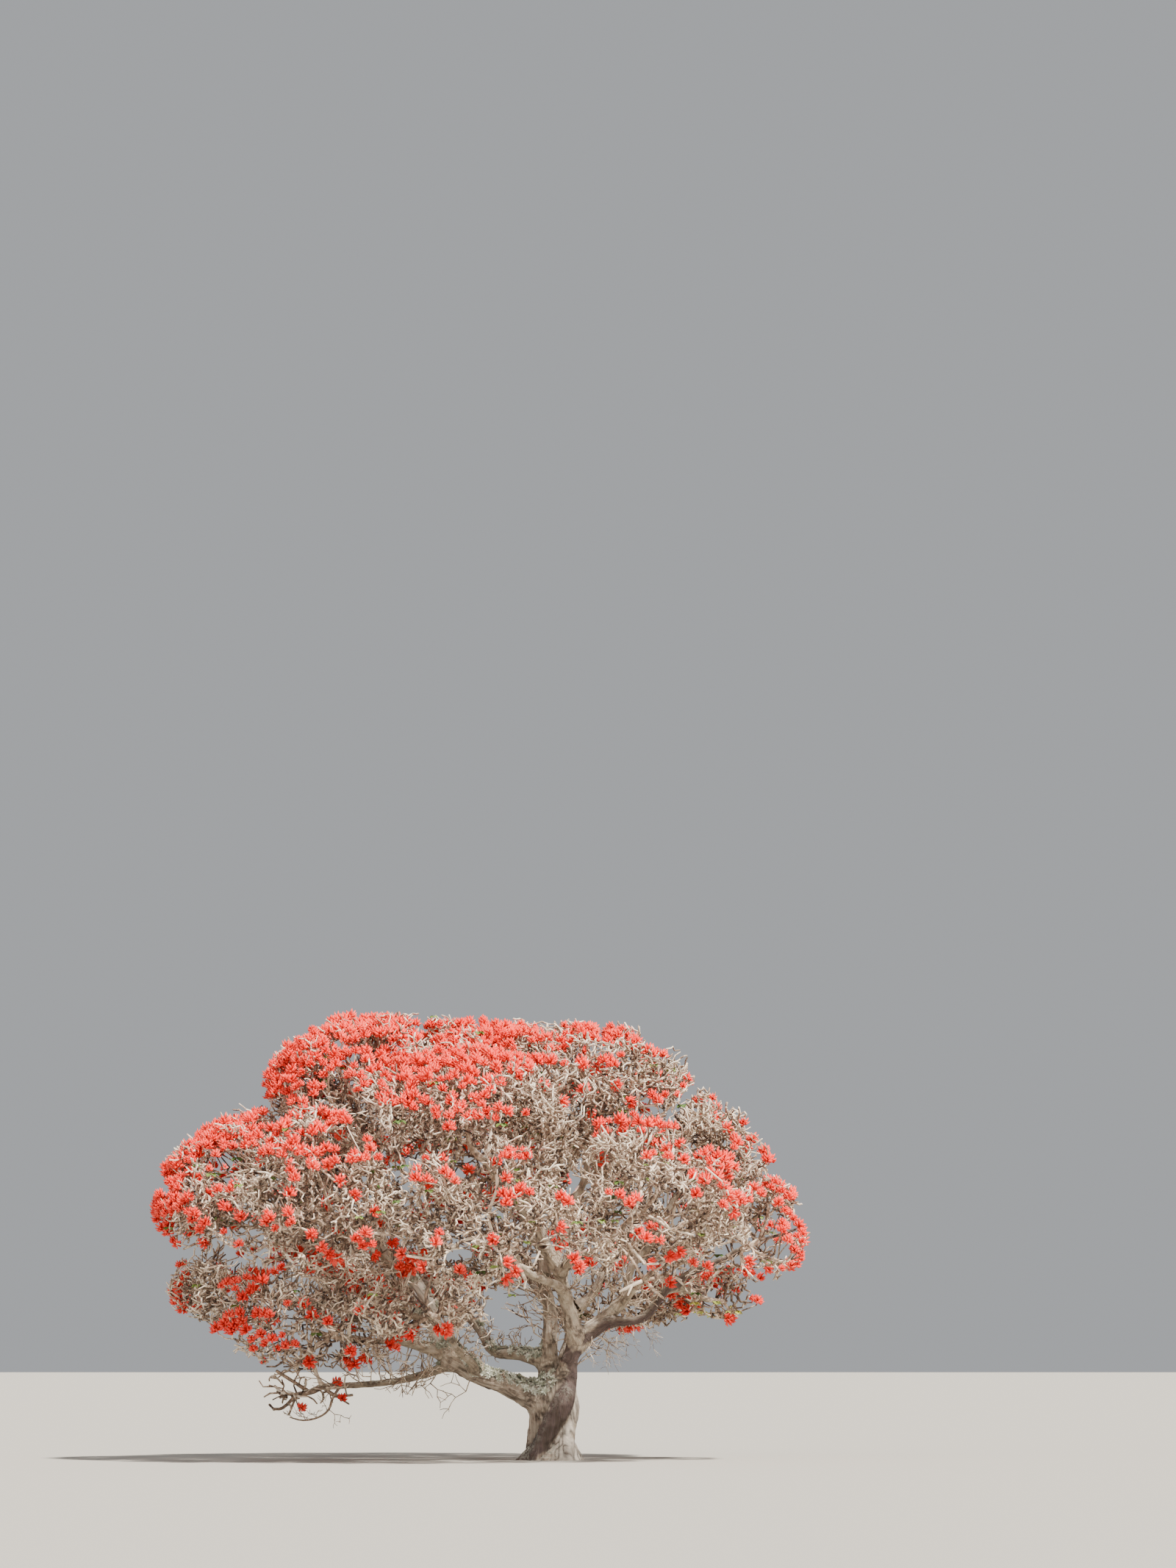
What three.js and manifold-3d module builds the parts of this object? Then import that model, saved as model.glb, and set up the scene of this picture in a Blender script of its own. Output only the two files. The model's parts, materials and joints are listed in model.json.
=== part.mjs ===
// A flame tree in blossom: a low, wide coral tree that flowers on bare wood, cut flat at the ground.
// The trunk forks low into a few stems, the stems into boughs, and each bough ends in one mass of crooked
// twigs with tufts of blossom at their tips. Millimetres, +Z up, the camera's side is -Y.
import * as THREE from "three";
import { mergeVertices } from "three/addons/utils/BufferGeometryUtils.js";
import Module from "manifold-3d";

const wasm = await Module();
wasm.setup();

// Clearances
const JOINT_GAP = 0.3; // between two pieces that meet
const LIMB_CLEARANCE = 25; // between a twig and a limb it passes
const SPACE_CLEARANCE = 18; // between a twig and the edge of its own space

// Trunk
const TRUNK_HEIGHT = 1260; // ground to the top of the fork
const TRUNK_SHOULDER = 1000; // where the round top starts to close
const TRUNK_RADIUS = 322; // at the waist
const TRUNK_SWELL = 62; // how much wider it is below the fork
const TRUNK_LEAN = 115; // how far the fork stands to the right of the foot
const FLARE = 165; // how far the root flare stands out at the ground
const FLARE_HEIGHT = 270; // height in which the flare fades to a third
const BUTTRESSES = 5;
const BUTTRESS_DEPTH = 0.3; // share of the flare that rises and falls between buttresses
const DOME_CLOSING = 0.8; // how far the rounded top closes in, as a share of the radius squared
const FLUTE_DEPTH = 20; // ripple that the buttresses carry up the trunk
const TRUNK_SIDES = 25;
const TRUNK_LEVELS = [0, 90, 220, 420, 700, 940, 1110, 1210, 1260];

// Limbs
const LIMB_STEP = 500; // length of limb for each straight stretch
const LIMB_CROOK = 0.1; // how far a limb bends aside, as a share of its length, less with more bends
const LIMB_DETAIL = 0.1; // edges that a cut leaves shorter than this are merged
const STEM_SIDES = 8;
const BOUGH_SIDES = 6;
const BOUGH_ENTERS = 0.78; // a bough ends at this share of its mass's half size
const BOUGH_TIP_RADIUS = 52;
const BOUGH_TAPER = 0.8; // a bough's tip is at most this share of its root
const STEM_ROUNDING = 0.6; // a stem's end rounds off over this share of its radius

// Twigs
const COARSE_TWIGS = 17.6; // twigs in a mass of half size MASS_UNIT
const MASS_UNIT = 1350;
const STEM_SHARE = 0.85; // radius of a mass's stem at its bough, against the bough's tip
const STEM_FOOT = 70; // the stem runs on straight from its bough for this long
const TWIG_TIP_RADIUS = 8;
const TWIG_STOUT = 1.35; // three-sided twigs are drawn this much stouter than round ones
const TWIG_FADE = 0.42; // how fast later twigs get thinner
const TWIG_BRANCHING = 0.62; // a twig's radius at most, against the one that it forks from
const TWIG_LONG = 900; // a twig longer than this has two knuckles
const TWIG_SHORT = 430; // a twig shorter than this has none
const TWIG_CROOK = 0.13; // how far a knuckle stands off the line, as a share of the twig
const TWIG_LIFT = 0.55; // how strongly tips turn up
const DOWN_SHARE = 0.62; // a mass reaches down by this share of what it reaches up
const CROWN_BLEND = 6; // the lower, the more two masses that meet fill the valley between them
const MOST_REACH = 1.3; // how far a mass may fill such a valley, against its own half size
const TWIG_TAPER = 0.55; // radius of a twig at its tip against its foot
const TWIG_FOLLOW = 0.5; // how much a twig leaves along the wood that it forks from
const TURN_COST = 0.6; // what turning back costs a twig that looks for its fork
const REACH_COST = 0.25; // what forking far out along the wood costs it
const SHELL_FROM = 0.94; // the coarse twigs end between this share of the half size and all of it
const HIDDEN_DEPTH = 0.95; // a point this far out in another mass counts as inside the crown
const MOST_TRIES = 60; // targets looked at for each twig grown
const HIDDEN_TWIGS = 0.25; // share of the twigs kept whose tips would end inside the crown
const TWIG_DETAIL = 4; // edges that the joining leaves shorter than this are merged
const LOOK_STEP = 110; // a twig is looked at this often for limbs in its way

// Blossom: a faceted tuft that stands for a spray of flower spikes
const TUFT_RADIUS = 118;
const TUFT_LENGTH = 230;
const TUFT_WIDEST = 0.45; // of its length, from the twig
const HIDDEN_BLOOM = 0.15; // how often a tip inside the crown flowers, against one outside

// Stems, each from a share of its parent's length. leave is [azimuth, elevation] in degrees, azimuth 0
// towards +X and 90 towards +Y. radii are at the root and the tip.
const STEMS = [
  {
    name: "left_fork", from: "trunk", at: 0.68, leave: [180, 8],
    tip: [-1620, -180, 1680], radii: [185, 138],
  },
  {
    name: "centre_stem", from: "trunk", at: 0.72, leave: [120, 70],
    tip: [-90, 240, 2800], radii: [150, 100],
  },
  {
    name: "right_stem", from: "trunk", at: 0.72, leave: [-25, 68],
    tip: [470, -140, 1900], radii: [155, 108],
  },
  {
    name: "back_stem", from: "trunk", at: 0.74, leave: [60, 48],
    tip: [330, 1080, 2350], radii: [150, 105],
  },
  {
    name: "left_rise", from: "left_fork", at: 0.93, leave: [165, 62],
    tip: [-2720, -330, 3550], radii: [128, 82],
  },
  {
    name: "front_stem", from: "right_stem", at: 0.94, leave: [190, 75],
    tip: [-60, -760, 3330], radii: [110, 80],
  },
];

// Boughs, each with the mass of twigs that it ends in. centre is the middle of the mass, and size its half
// size along X, along Y and upwards. bloom is how often an outer tip flowers.
const BOUGHS = [
  // the top of the dome
  {
    name: "top_left", from: "left_rise", at: 1, leave: [100, 60], radius: 78,
    centre: [-3100, 100, 5760], size: [1400, 1650, 1400], bloom: 0.95,
  },
  {
    name: "top_centre", from: "centre_stem", at: 1, leave: [100, 75], radius: 90,
    centre: [-1060, 500, 5740], size: [1500, 1650, 1250], bloom: 0.9,
  },
  {
    name: "top_right", from: "front_stem", at: 0.85, leave: [35, 50], radius: 72,
    centre: [850, -100, 5600], size: [1500, 1650, 1320], bloom: 0.75,
  },
  {
    name: "top_front", from: "front_stem", at: 1, leave: [230, 60], radius: 74,
    centre: [-1250, -2350, 5000], size: [2100, 1600, 1420], bloom: 0.6,
  },
  {
    name: "top_back", from: "back_stem", at: 1, leave: [130, 65], radius: 84,
    centre: [-1050, 2600, 5000], size: [2150, 1600, 1420], bloom: 0.75,
  },
  // the shoulders round it
  {
    name: "left_shoulder", from: "left_rise", at: 0.96, leave: [178, 25], radius: 74,
    centre: [-4850, -200, 4120], size: [1430, 1850, 1330], bloom: 0.85,
  },
  {
    name: "left_front", from: "left_rise", at: 0.62, leave: [235, 30], radius: 70,
    centre: [-3350, -2550, 3850], size: [1650, 1500, 1380], bloom: 0.55,
  },
  {
    name: "front", from: "front_stem", at: 0.45, leave: [255, 20], radius: 70,
    centre: [-850, -3450, 3500], size: [1650, 1300, 1280], bloom: 0.4,
  },
  {
    name: "right_front", from: "front_stem", at: 0.7, leave: [310, 35], radius: 68,
    centre: [1450, -2550, 3850], size: [1600, 1500, 1300], bloom: 0.45,
  },
  {
    name: "right_shoulder", from: "right_stem", at: 0.97, leave: [12, 30], radius: 78,
    centre: [2250, 0, 4450], size: [1250, 1700, 1220], bloom: 0.5,
  },
  {
    name: "right_back", from: "back_stem", at: 0.97, leave: [30, 40], radius: 76,
    centre: [1450, 2650, 3900], size: [1600, 1500, 1300], bloom: 0.6,
  },
  {
    name: "back", from: "back_stem", at: 0.8, leave: [110, 25], radius: 76,
    centre: [-950, 3500, 3550], size: [1700, 1300, 1280], bloom: 0.6,
  },
  {
    name: "left_back", from: "centre_stem", at: 0.34, leave: [172, 4], radius: 92,
    centre: [-3350, 2500, 3900], size: [1650, 1500, 1300], bloom: 0.6,
  },
  // the low skirt, open in front of the trunk
  {
    name: "left_skirt", from: "left_rise", at: 0.3, leave: [190, 12], radius: 70,
    centre: [-4850, 100, 2650], size: [1230, 1500, 850], bloom: 0.75,
  },
  {
    name: "left_low", from: "left_fork", at: 0.97, leave: [215, 12], radius: 74,
    centre: [-3700, -1400, 2050], size: [1500, 1200, 1000], bloom: 0.75,
  },
  {
    name: "droop", from: "left_fork", at: 0.9, leave: [184, -38], radius: 62,
    centre: [-4020, -150, 1030], size: [950, 720, 560], bloom: 0.12,
  },
  {
    name: "front_low", from: "left_fork", at: 0.72, leave: [250, 25], radius: 62,
    centre: [-1950, -2500, 2420], size: [1100, 1100, 760], bloom: 0.45,
  },
  {
    name: "back_low_left", from: "left_back", at: 0.5, leave: [140, 5], radius: 58,
    centre: [-2600, 2150, 2380], size: [1250, 1200, 760], bloom: 0.5,
  },
  {
    name: "back_low_right", from: "back_stem", at: 0.7, leave: [45, 8], radius: 64,
    centre: [1250, 2500, 2520], size: [1250, 1200, 760], bloom: 0.5,
  },
  {
    name: "right_tip", from: "right_stem", at: 1, leave: [-4, 14], radius: 82,
    centre: [3330, -250, 3480], size: [870, 1300, 850], bloom: 0.75,
  },
  {
    name: "right_inner", from: "right_shoulder", at: 0.32, leave: [-30, 20], radius: 56,
    centre: [1650, -1000, 2980], size: [880, 950, 700], bloom: 0.35,
  },
  {
    name: "right_low", from: "right_tip", at: 0.62, leave: [5, 2], radius: 54,
    centre: [2780, 420, 2520], size: [850, 900, 520], bloom: 0.6,
  },
];

// Colours
const bark = new THREE.MeshStandardMaterial({ color: 0x8d7f6f, roughness: 0.92, metalness: 0 });
const paleBark = new THREE.MeshStandardMaterial({ color: 0xa3937e, roughness: 0.9, metalness: 0 });
const blossomedTwigs = new THREE.MeshStandardMaterial({ color: 0xd4402c, roughness: 0.75, metalness: 0 });
const sparseTwigs = new THREE.MeshStandardMaterial({ color: 0xb5735c, roughness: 0.8, metalness: 0 });
const RICH_BLOOM = 0.6; // a mass that flowers at least this much takes the blossom's colour

// A number from 0 to 1 that depends only on three whole numbers, by mixing their bits.
function chance(seed, item, draw) {
  let h = Math.imul(seed + 1, 0x9e3779b1) ^ Math.imul(item + 1, 0x85ebca6b) ^ Math.imul(draw + 1, 0xc2b2ae35);
  h = Math.imul(h ^ (h >>> 15), 0x2c1b3c6d);
  h = Math.imul(h ^ (h >>> 12), 0x297a2d39);
  return ((h ^ (h >>> 15)) >>> 0) / 4294967296;
}

const vector = (v) => new THREE.Vector3(...v);
const mix = (a, b, share) => a + (b - a) * share;
const fraction = (x) => x - Math.floor(x);

// The unit vector at an azimuth and an elevation in degrees.
function heading([azimuth, elevation]) {
  const a = THREE.MathUtils.degToRad(azimuth);
  const e = THREE.MathUtils.degToRad(elevation);
  return new THREE.Vector3(Math.cos(a) * Math.cos(e), Math.sin(a) * Math.cos(e), Math.sin(e));
}

// A point of the smooth curve that leaves one point along one direction and reaches another along another.
function curvePoint(start, leave, end, arrive, t) {
  const pull = start.distanceTo(end);
  return new THREE.Vector3()
    .addScaledVector(start, 2 * t ** 3 - 3 * t ** 2 + 1)
    .addScaledVector(leave, pull * (t ** 3 - 2 * t ** 2 + t))
    .addScaledVector(end, 3 * t ** 2 - 2 * t ** 3)
    .addScaledVector(arrive, pull * (t ** 3 - t ** 2));
}

// A unit vector square to a direction, turned about it by an angle.
function sideways(direction, angle) {
  const reference = Math.abs(direction.z) < 0.9 ? new THREE.Vector3(0, 0, 1) : new THREE.Vector3(1, 0, 0);
  const side = new THREE.Vector3().crossVectors(reference, direction).normalize();
  return side.applyAxisAngle(direction, angle);
}

// The curve above at equal steps, with each inner knot pushed sideways by a seeded bend.
function crookedPath(start, leave, end, arrive, steps, crook, seed, item) {
  const chord = end.clone().sub(start).normalize();
  const bend = (crook * start.distanceTo(end)) / Math.sqrt(steps);
  return Array.from({ length: steps + 1 }, (_, k) => {
    const point = curvePoint(start, leave, end, arrive, k / steps);
    if (k === 0 || k === steps) return point;
    const side = sideways(chord, 2 * Math.PI * chance(seed, item, 2 * k));
    return point.addScaledVector(side, bend * mix(0.5, 1, chance(seed, item, 2 * k + 1)));
  });
}

// Unit directions along a path at its points.
function tangents(points) {
  return points.map((_, i) => {
    const before = points[Math.max(i - 1, 0)];
    const after = points[Math.min(i + 1, points.length - 1)];
    return after.clone().sub(before).normalize();
  });
}

// Rings of points joined into one closed skin. The last ring may be a single point. Each end is a fan, or
// for the first the triangles given.
function loft(rings, firstCap) {
  const sides = rings[0].length;
  const last = (rings.length - 1) * sides;
  const pointed = rings.at(-1).length === 1;
  const walls = pointed ? last - sides : last;
  const faces = [];
  for (let i = 0; i < walls; i++) {
    const next = i % sides === sides - 1 ? i + 1 - sides : i + 1;
    faces.push(i, next, next + sides, i, next + sides, i + sides);
  }
  for (let i = 0; pointed && i < sides; i++) faces.push(walls + i, walls + ((i + 1) % sides), last);
  for (let i = 1; i + 1 < sides; i++) {
    if (!firstCap) faces.push(0, i + 1, i);
    if (!pointed) faces.push(last, last + i, last + i + 1);
  }
  if (firstCap) faces.push(...firstCap.flat());
  const geometry = new THREE.BufferGeometry();
  const numbers = rings.flat().flatMap((p) => p.toArray());
  geometry.setAttribute("position", new THREE.Float32BufferAttribute(numbers, 3));
  geometry.setIndex(faces);
  return geometry;
}

// A closed skin as a solid that can be joined and cut.
function solidOf(geometry) {
  const merged = mergeVertices(geometry, 1e-3);
  return new wasm.Manifold(
    new wasm.Mesh({
      numProp: 3,
      vertProperties: merged.attributes.position.array,
      triVerts: new Uint32Array(merged.index.array),
    }),
  );
}

// A tapering tube along a path, with flat ends square to it. grow makes it larger all round, and a radius of
// nothing closes it in a point.
function tube(points, radii, sides, grow = 0) {
  const along = tangents(points);
  let side = sideways(along[0], 0);
  const rings = points.map((point, k) => {
    side = side.clone().addScaledVector(along[k], -side.dot(along[k])).normalize();
    const up = new THREE.Vector3().crossVectors(along[k], side);
    const push = k === 0 ? -grow : k === points.length - 1 ? grow : 0;
    const middle = point.clone().addScaledVector(along[k], push);
    if (radii[k] === 0) return [middle];
    return Array.from({ length: sides }, (_, i) => {
      const angle = (2 * Math.PI * i) / sides;
      return middle
        .clone()
        .addScaledVector(side, (radii[k] + grow) * Math.cos(angle))
        .addScaledVector(up, (radii[k] + grow) * Math.sin(angle));
    });
  });
  return loft(rings);
}

// The trunk's middle at a height: it leans to the right as it rises.
const trunkMiddle = (z) => new THREE.Vector3(TRUNK_LEAN * Math.sin((0.5 * Math.PI * z) / TRUNK_HEIGHT), 0, z);

// The trunk's radius at a height and an angle: buttresses spread at the ground and fade into flutes, and
// above the shoulder the top closes like a dome.
function trunkRadius(z, angle) {
  const spread = FLARE * Math.exp(-z / FLARE_HEIGHT);
  const wave = -Math.cos(BUTTRESSES * angle + 0.9) - 0.35 * Math.cos(2 * angle - 2.6);
  const swell = TRUNK_SWELL * THREE.MathUtils.smoothstep(z, 0.4 * TRUNK_SHOULDER, TRUNK_SHOULDER);
  const round = TRUNK_RADIUS + swell + spread * (1 + BUTTRESS_DEPTH * wave) + FLUTE_DEPTH * wave;
  const closing = Math.max(0, (z - TRUNK_SHOULDER) / (TRUNK_HEIGHT - TRUNK_SHOULDER));
  return round * Math.sqrt(1 - DOME_CLOSING * closing ** 2);
}

function trunkSolid(grow = 0) {
  const rings = TRUNK_LEVELS.map((z, level) => {
    const lift = level === TRUNK_LEVELS.length - 1 ? grow : 0;
    return Array.from({ length: TRUNK_SIDES }, (_, i) => {
      const angle = (2 * Math.PI * i) / TRUNK_SIDES;
      const reach = trunkRadius(z, angle) + grow;
      return trunkMiddle(z).add(new THREE.Vector3(reach * Math.cos(angle), reach * Math.sin(angle), lift));
    });
  });
  const outline = rings[0].map((p) => new THREE.Vector2(p.x, p.y));
  const cut = THREE.ShapeUtils.triangulateShape(outline, []).map(([a, b, c]) => [a, c, b]);
  return solidOf(loft(rings, cut));
}

// How far a mass reaches from its middle along a unit direction.
function reachAlong(mass, direction) {
  const height = direction.z > 0 ? mass.size[2] : mass.size[2] * DOWN_SHARE;
  return 1 / Math.hypot(direction.x / mass.size[0], direction.y / mass.size[1], direction.z / height);
}

// How far out in a mass a point lies: 0 at its middle and 1 at its edge.
function depthIn(mass, point) {
  const height = point.z > mass.middle.z ? mass.size[2] : mass.size[2] * DOWN_SHARE;
  const away = point.clone().sub(mass.middle);
  return Math.hypot(away.x / mass.size[0], away.y / mass.size[1], away.z / height);
}

// The width of a mass to one side: the distance from its middle to the plane that just touches it there.
function supportAlong(mass, direction) {
  const height = direction.z > 0 ? mass.size[2] : mass.size[2] * DOWN_SHARE;
  return Math.hypot(direction.x * mass.size[0], direction.y * mass.size[1], direction.z * height);
}

// The planes that part a mass's space from its neighbours', each between two middles in the share of their
// widths, as [direction, distance from this middle].
function partings(mass, masses) {
  return masses
    .filter((other) => other !== mass)
    .map((other) => {
      const between = other.middle.clone().sub(mass.middle);
      const distance = between.length();
      const direction = between.normalize();
      const mine = supportAlong(mass, direction);
      const theirs = supportAlong(other, direction.clone().negate());
      return [direction, (distance * mine) / (mine + theirs)];
    });
}

// True if a ball at a point stays on its mass's side of each parting plane.
function parted(mass, point, radius) {
  const away = point.clone().sub(mass.middle);
  const wanted = radius + SPACE_CLEARANCE;
  return mass.partings.every(([direction, distance]) => away.dot(direction) + wanted < distance);
}

// How far out in the whole crown a point lies: the masses' own depths blended, so that where masses meet they
// fill out the valley between them.
function depthInCrown(mass, point) {
  const near = [mass, ...mass.others].reduce((sum, each) => sum + depthIn(each, point) ** -CROWN_BLEND, 0);
  return near ** (-1 / CROWN_BLEND);
}

// True if a ball at a point keeps to the mass's own space.
function inSpace(mass, point, radius) {
  return depthIn(mass, point) < MOST_REACH && parted(mass, point, radius) && depthInCrown(mass, point) < 1.001;
}

// How far the crown reaches from the mass's middle along a unit direction, in the mass's own reaches.
function crownReach(mass, direction) {
  const own = reachAlong(mass, direction);
  let share = 1;
  for (let round = 0; round < 3; round++) {
    const point = mass.middle.clone().addScaledVector(direction, share * own);
    share = Math.min(share / depthInCrown(mass, point), MOST_REACH);
  }
  return share * own;
}

// The distance from a point to the stretch from a to b.
function distanceToStretch(point, a, b) {
  const along = b.clone().sub(a);
  const share = THREE.MathUtils.clamp(point.clone().sub(a).dot(along) / along.lengthSq(), 0, 1);
  return point.distanceTo(a.clone().addScaledVector(along, share));
}

// True if a ball at a point stays clear of every limb and of the trunk.
function clearOfLimbs(limbs, point, radius) {
  return limbs.every(({ points, radii }) =>
    points
      .slice(1)
      .every((end, k) => distanceToStretch(point, points[k], end) > radii[k] + radius + LIMB_CLEARANCE),
  );
}

// The point that a twig grows to: an even sequence of points that fills the mass's outer shell.
function twigTarget(mass, item) {
  const root = 1.2207440846; // the number whose powers give the evenest steps in three directions
  const [u, v, w] = [1, 2, 3].map((power) => fraction(chance(mass.seed, 0, power) + item / root ** power));
  const angle = 2 * Math.PI * v;
  const height = 2 * u - 1;
  const across = Math.sqrt(1 - height * height);
  const direction = new THREE.Vector3(across * Math.cos(angle), across * Math.sin(angle), height);
  return mass.middle.clone().addScaledVector(direction, crownReach(mass, direction) * mix(SHELL_FROM, 1, w));
}

// The place on the grown twigs that a new twig forks from: near its target, not far out along the wood, and
// not behind the way the wood grows.
function forkFor(target, places) {
  let best = null;
  let least = Infinity;
  for (const place of places) {
    const away = target.clone().sub(place.point);
    const distance = away.length();
    const turn = 1 - place.direction.dot(away) / Math.max(distance, 1);
    const cost = distance * (1 + TURN_COST * turn) + REACH_COST * place.along;
    if (cost < least) [best, least] = [place, cost];
  }
  return best;
}

// True if a point lies inside the crown, in the reach of another mass.
const hidden = (mass, point) => mass.others.some((other) => depthIn(other, point) < HIDDEN_DEPTH);

// A twig from a place to a target, or null where it would leave its space or meet a limb. A tip that flowers
// ends in a tuft whose point is the target.
function growTwig(mass, limbs, place, target, item, order) {
  const chord = target.clone().sub(place.point).normalize();
  const leave = chord.clone().addScaledVector(place.direction, TWIG_FOLLOW).normalize();
  const arrive = chord.clone().add(new THREE.Vector3(0, 0, TWIG_LIFT)).normalize();
  const blooms = chance(mass.seed, item, 11) < mass.bloom * (hidden(mass, target) ? HIDDEN_BLOOM : 1);
  const end = target.clone().addScaledVector(arrive, blooms ? -TUFT_LENGTH : 0);
  const length = end.distanceTo(place.point);
  const steps = length > TWIG_LONG ? 3 : length > TWIG_SHORT ? 2 : 1;
  const points = crookedPath(place.point, leave, end, arrive, steps, TWIG_CROOK, mass.seed, item);
  const nominal = mass.stemRadius * (order + 1) ** -TWIG_FADE;
  const base = Math.min(TWIG_BRANCHING * place.radius, Math.max(nominal, TWIG_TIP_RADIUS));
  const radii = points.map((_, k) => Math.max(mix(base, TWIG_TAPER * base, k / steps), 0.7 * TWIG_TIP_RADIUS));
  const widest = end.clone().lerp(target, TUFT_WIDEST);
  if (blooms && !(parted(mass, widest, TUFT_RADIUS) && clearOfLimbs(limbs, widest, TUFT_RADIUS))) return null;
  const looks = Math.ceil(length / steps / LOOK_STEP);
  const fits = points.slice(1).every((point, k) => {
    const radius = radii[k] * TWIG_STOUT;
    const seen = Array.from({ length: looks }, (_, i) => points[k].clone().lerp(point, (i + 1) / looks));
    return inSpace(mass, point, radius) && seen.every((spot) => clearOfLimbs(limbs, spot, radius));
  });
  return fits ? { points, radii, blooms, length, target } : null;
}

// The twigs of a mass. The first is its stem, from the bough's tip to the middle of the mass. The others grow
// one by one to the points of an even sequence, each from the best place on what has grown before it.
function growMass(mass, limbs, count) {
  const foot = mass.root.clone().addScaledVector(mass.rootDirection, JOINT_GAP);
  const start = foot.clone().addScaledVector(mass.rootDirection, STEM_FOOT);
  const end = mass.middle.clone();
  const inward = end.clone().sub(start).normalize();
  const path = crookedPath(start, mass.rootDirection, end, inward, 3, TWIG_CROOK / 2, mass.seed, 0);
  const points = [foot, ...path];
  const radii = points.map((_, k) => mix(mass.stemRadius, 0.6 * mass.stemRadius, k / 4));
  const twigs = [{ points, radii, blooms: false, length: start.distanceTo(end) }];
  const places = [];
  const addPlaces = (twig, along, first) => {
    const directions = tangents(twig.points);
    const usable = twig.blooms ? twig.points.length - 1 : twig.points.length;
    for (let k = first; k < usable; k++)
      places.push({
        point: twig.points[k],
        direction: directions[k],
        radius: twig.radii[k],
        along: along + (twig.length * k) / (twig.points.length - 1),
      });
  };
  addPlaces(twigs[0], 0, 2);
  for (let item = 1; twigs.length <= count && item < MOST_TRIES * count; item++) {
    const target = twigTarget(mass, item);
    if (!inSpace(mass, target, TWIG_TIP_RADIUS)) continue;
    if (hidden(mass, target) && chance(mass.seed, item, 12) > HIDDEN_TWIGS) continue;
    const place = forkFor(target, places);
    const twig = growTwig(mass, limbs, place, target, item, twigs.length);
    if (!twig) continue;
    twigs.push(twig);
    addPlaces(twig, place.along, 1);
  }
  return twigs;
}

// A twig as a three-sided tube that ends in a point. A tip that flowers swells into a tuft.
function twigSkin({ points, radii, blooms, target }) {
  const stout = radii.map((r) => r * TWIG_STOUT);
  if (!target) return tube(points, stout, 3);
  if (!blooms) return tube(points, [...stout.slice(0, -1), 0], 3);
  const widest = points.at(-1).clone().lerp(target, TUFT_WIDEST);
  return tube([...points, widest, target], [...stout, TUFT_RADIUS, 0], 3);
}

function geometryOf(solid) {
  const { vertProperties, triVerts } = solid.getMesh();
  const geometry = new THREE.BufferGeometry();
  geometry.setAttribute("position", new THREE.BufferAttribute(new Float32Array(vertProperties), 3));
  geometry.setIndex(new THREE.BufferAttribute(new Uint32Array(triVerts), 1));
  return geometry;
}

// A named mesh of the largest body of a solid, with edges shorter than detail merged. Bodies that only
// touch at a point count as separate.
function meshOf(solid, detail, name, material) {
  const bodies = solidOf(geometryOf(solid.simplify(detail))).decompose();
  const largest = bodies.reduce((a, b) => (b.volume() > a.volume() ? b : a));
  const mesh = new THREE.Mesh(geometryOf(largest), material);
  mesh.name = name;
  return mesh;
}

// A limb's tube. A stem's end is rounded, and a bough's is flat so that its twigs can stand on it.
function limbSolid({ points, radii, isStem }, grow) {
  if (!isStem) return solidOf(tube(points, radii, BOUGH_SIDES, grow));
  const rounding = STEM_ROUNDING * radii.at(-1);
  const end = points.at(-1).clone().addScaledVector(tangents(points).at(-1), rounding);
  return solidOf(tube([...points, end], [...radii, rounding], STEM_SIDES, grow));
}

// The trunk as a limb, so that stems can fork from it and twigs keep off it.
function trunkLimb() {
  const points = [0, 0.25, 0.5, 0.75, 1].map((share) => trunkMiddle(share * TRUNK_HEIGHT));
  return { name: "trunk", points, radii: points.map(() => TRUNK_RADIUS) };
}

// The point and radius of a limb at a share of its length.
function alongLimb(limb, share) {
  const steps = limb.points.length - 1;
  const k = Math.min(Math.floor(share * steps), steps - 1);
  const rest = share * steps - k;
  return limb.points[k].clone().lerp(limb.points[k + 1], rest);
}

// A limb from its parent to its tip, along a crooked curve.
function growLimb(row, parent, tip, arrive, radii, seed) {
  const start = alongLimb(parent, row.at);
  const steps = Math.max(3, Math.round(start.distanceTo(tip) / LIMB_STEP));
  const points = crookedPath(start, heading(row.leave), tip, arrive, steps, LIMB_CROOK, seed, 0);
  const taper = points.map((_, k) => mix(radii[0], radii[1], k / steps));
  return { name: row.name, points, radii: taper, isStem: !row.centre };
}

// Grows the limbs in order, stems first, each from one that is already there.
const limbs = [trunkLimb()];
const limbNamed = (name) => limbs.find((limb) => limb.name === name);
STEMS.forEach((row, seed) => {
  const parent = limbNamed(row.from);
  const tip = vector(row.tip);
  const arrive = tip.clone().sub(alongLimb(parent, row.at)).normalize();
  limbs.push(growLimb(row, parent, tip, arrive, row.radii, seed));
});
const masses = BOUGHS.map((row, k) => {
  const parent = limbNamed(row.from);
  const middle = vector(row.centre);
  const inward = middle.clone().sub(alongLimb(parent, row.at)).normalize();
  const back = inward.clone().negate();
  const mass = { name: row.name, seed: 100 + k, middle, size: row.size, bloom: row.bloom };
  const tip = middle.clone().addScaledVector(back, BOUGH_ENTERS * reachAlong(mass, back));
  const tipRadius = Math.min(BOUGH_TIP_RADIUS, BOUGH_TAPER * row.radius);
  const bough = growLimb(row, parent, tip, inward, [row.radius, tipRadius], STEMS.length + k);
  limbs.push(bough);
  mass.root = tip;
  mass.rootDirection = tangents(bough.points).at(-1);
  mass.stemRadius = STEM_SHARE * tipRadius;
  return mass;
});
for (const mass of masses) {
  mass.partings = partings(mass, masses);
  mass.others = masses.filter((other) => other !== mass);
}

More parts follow.
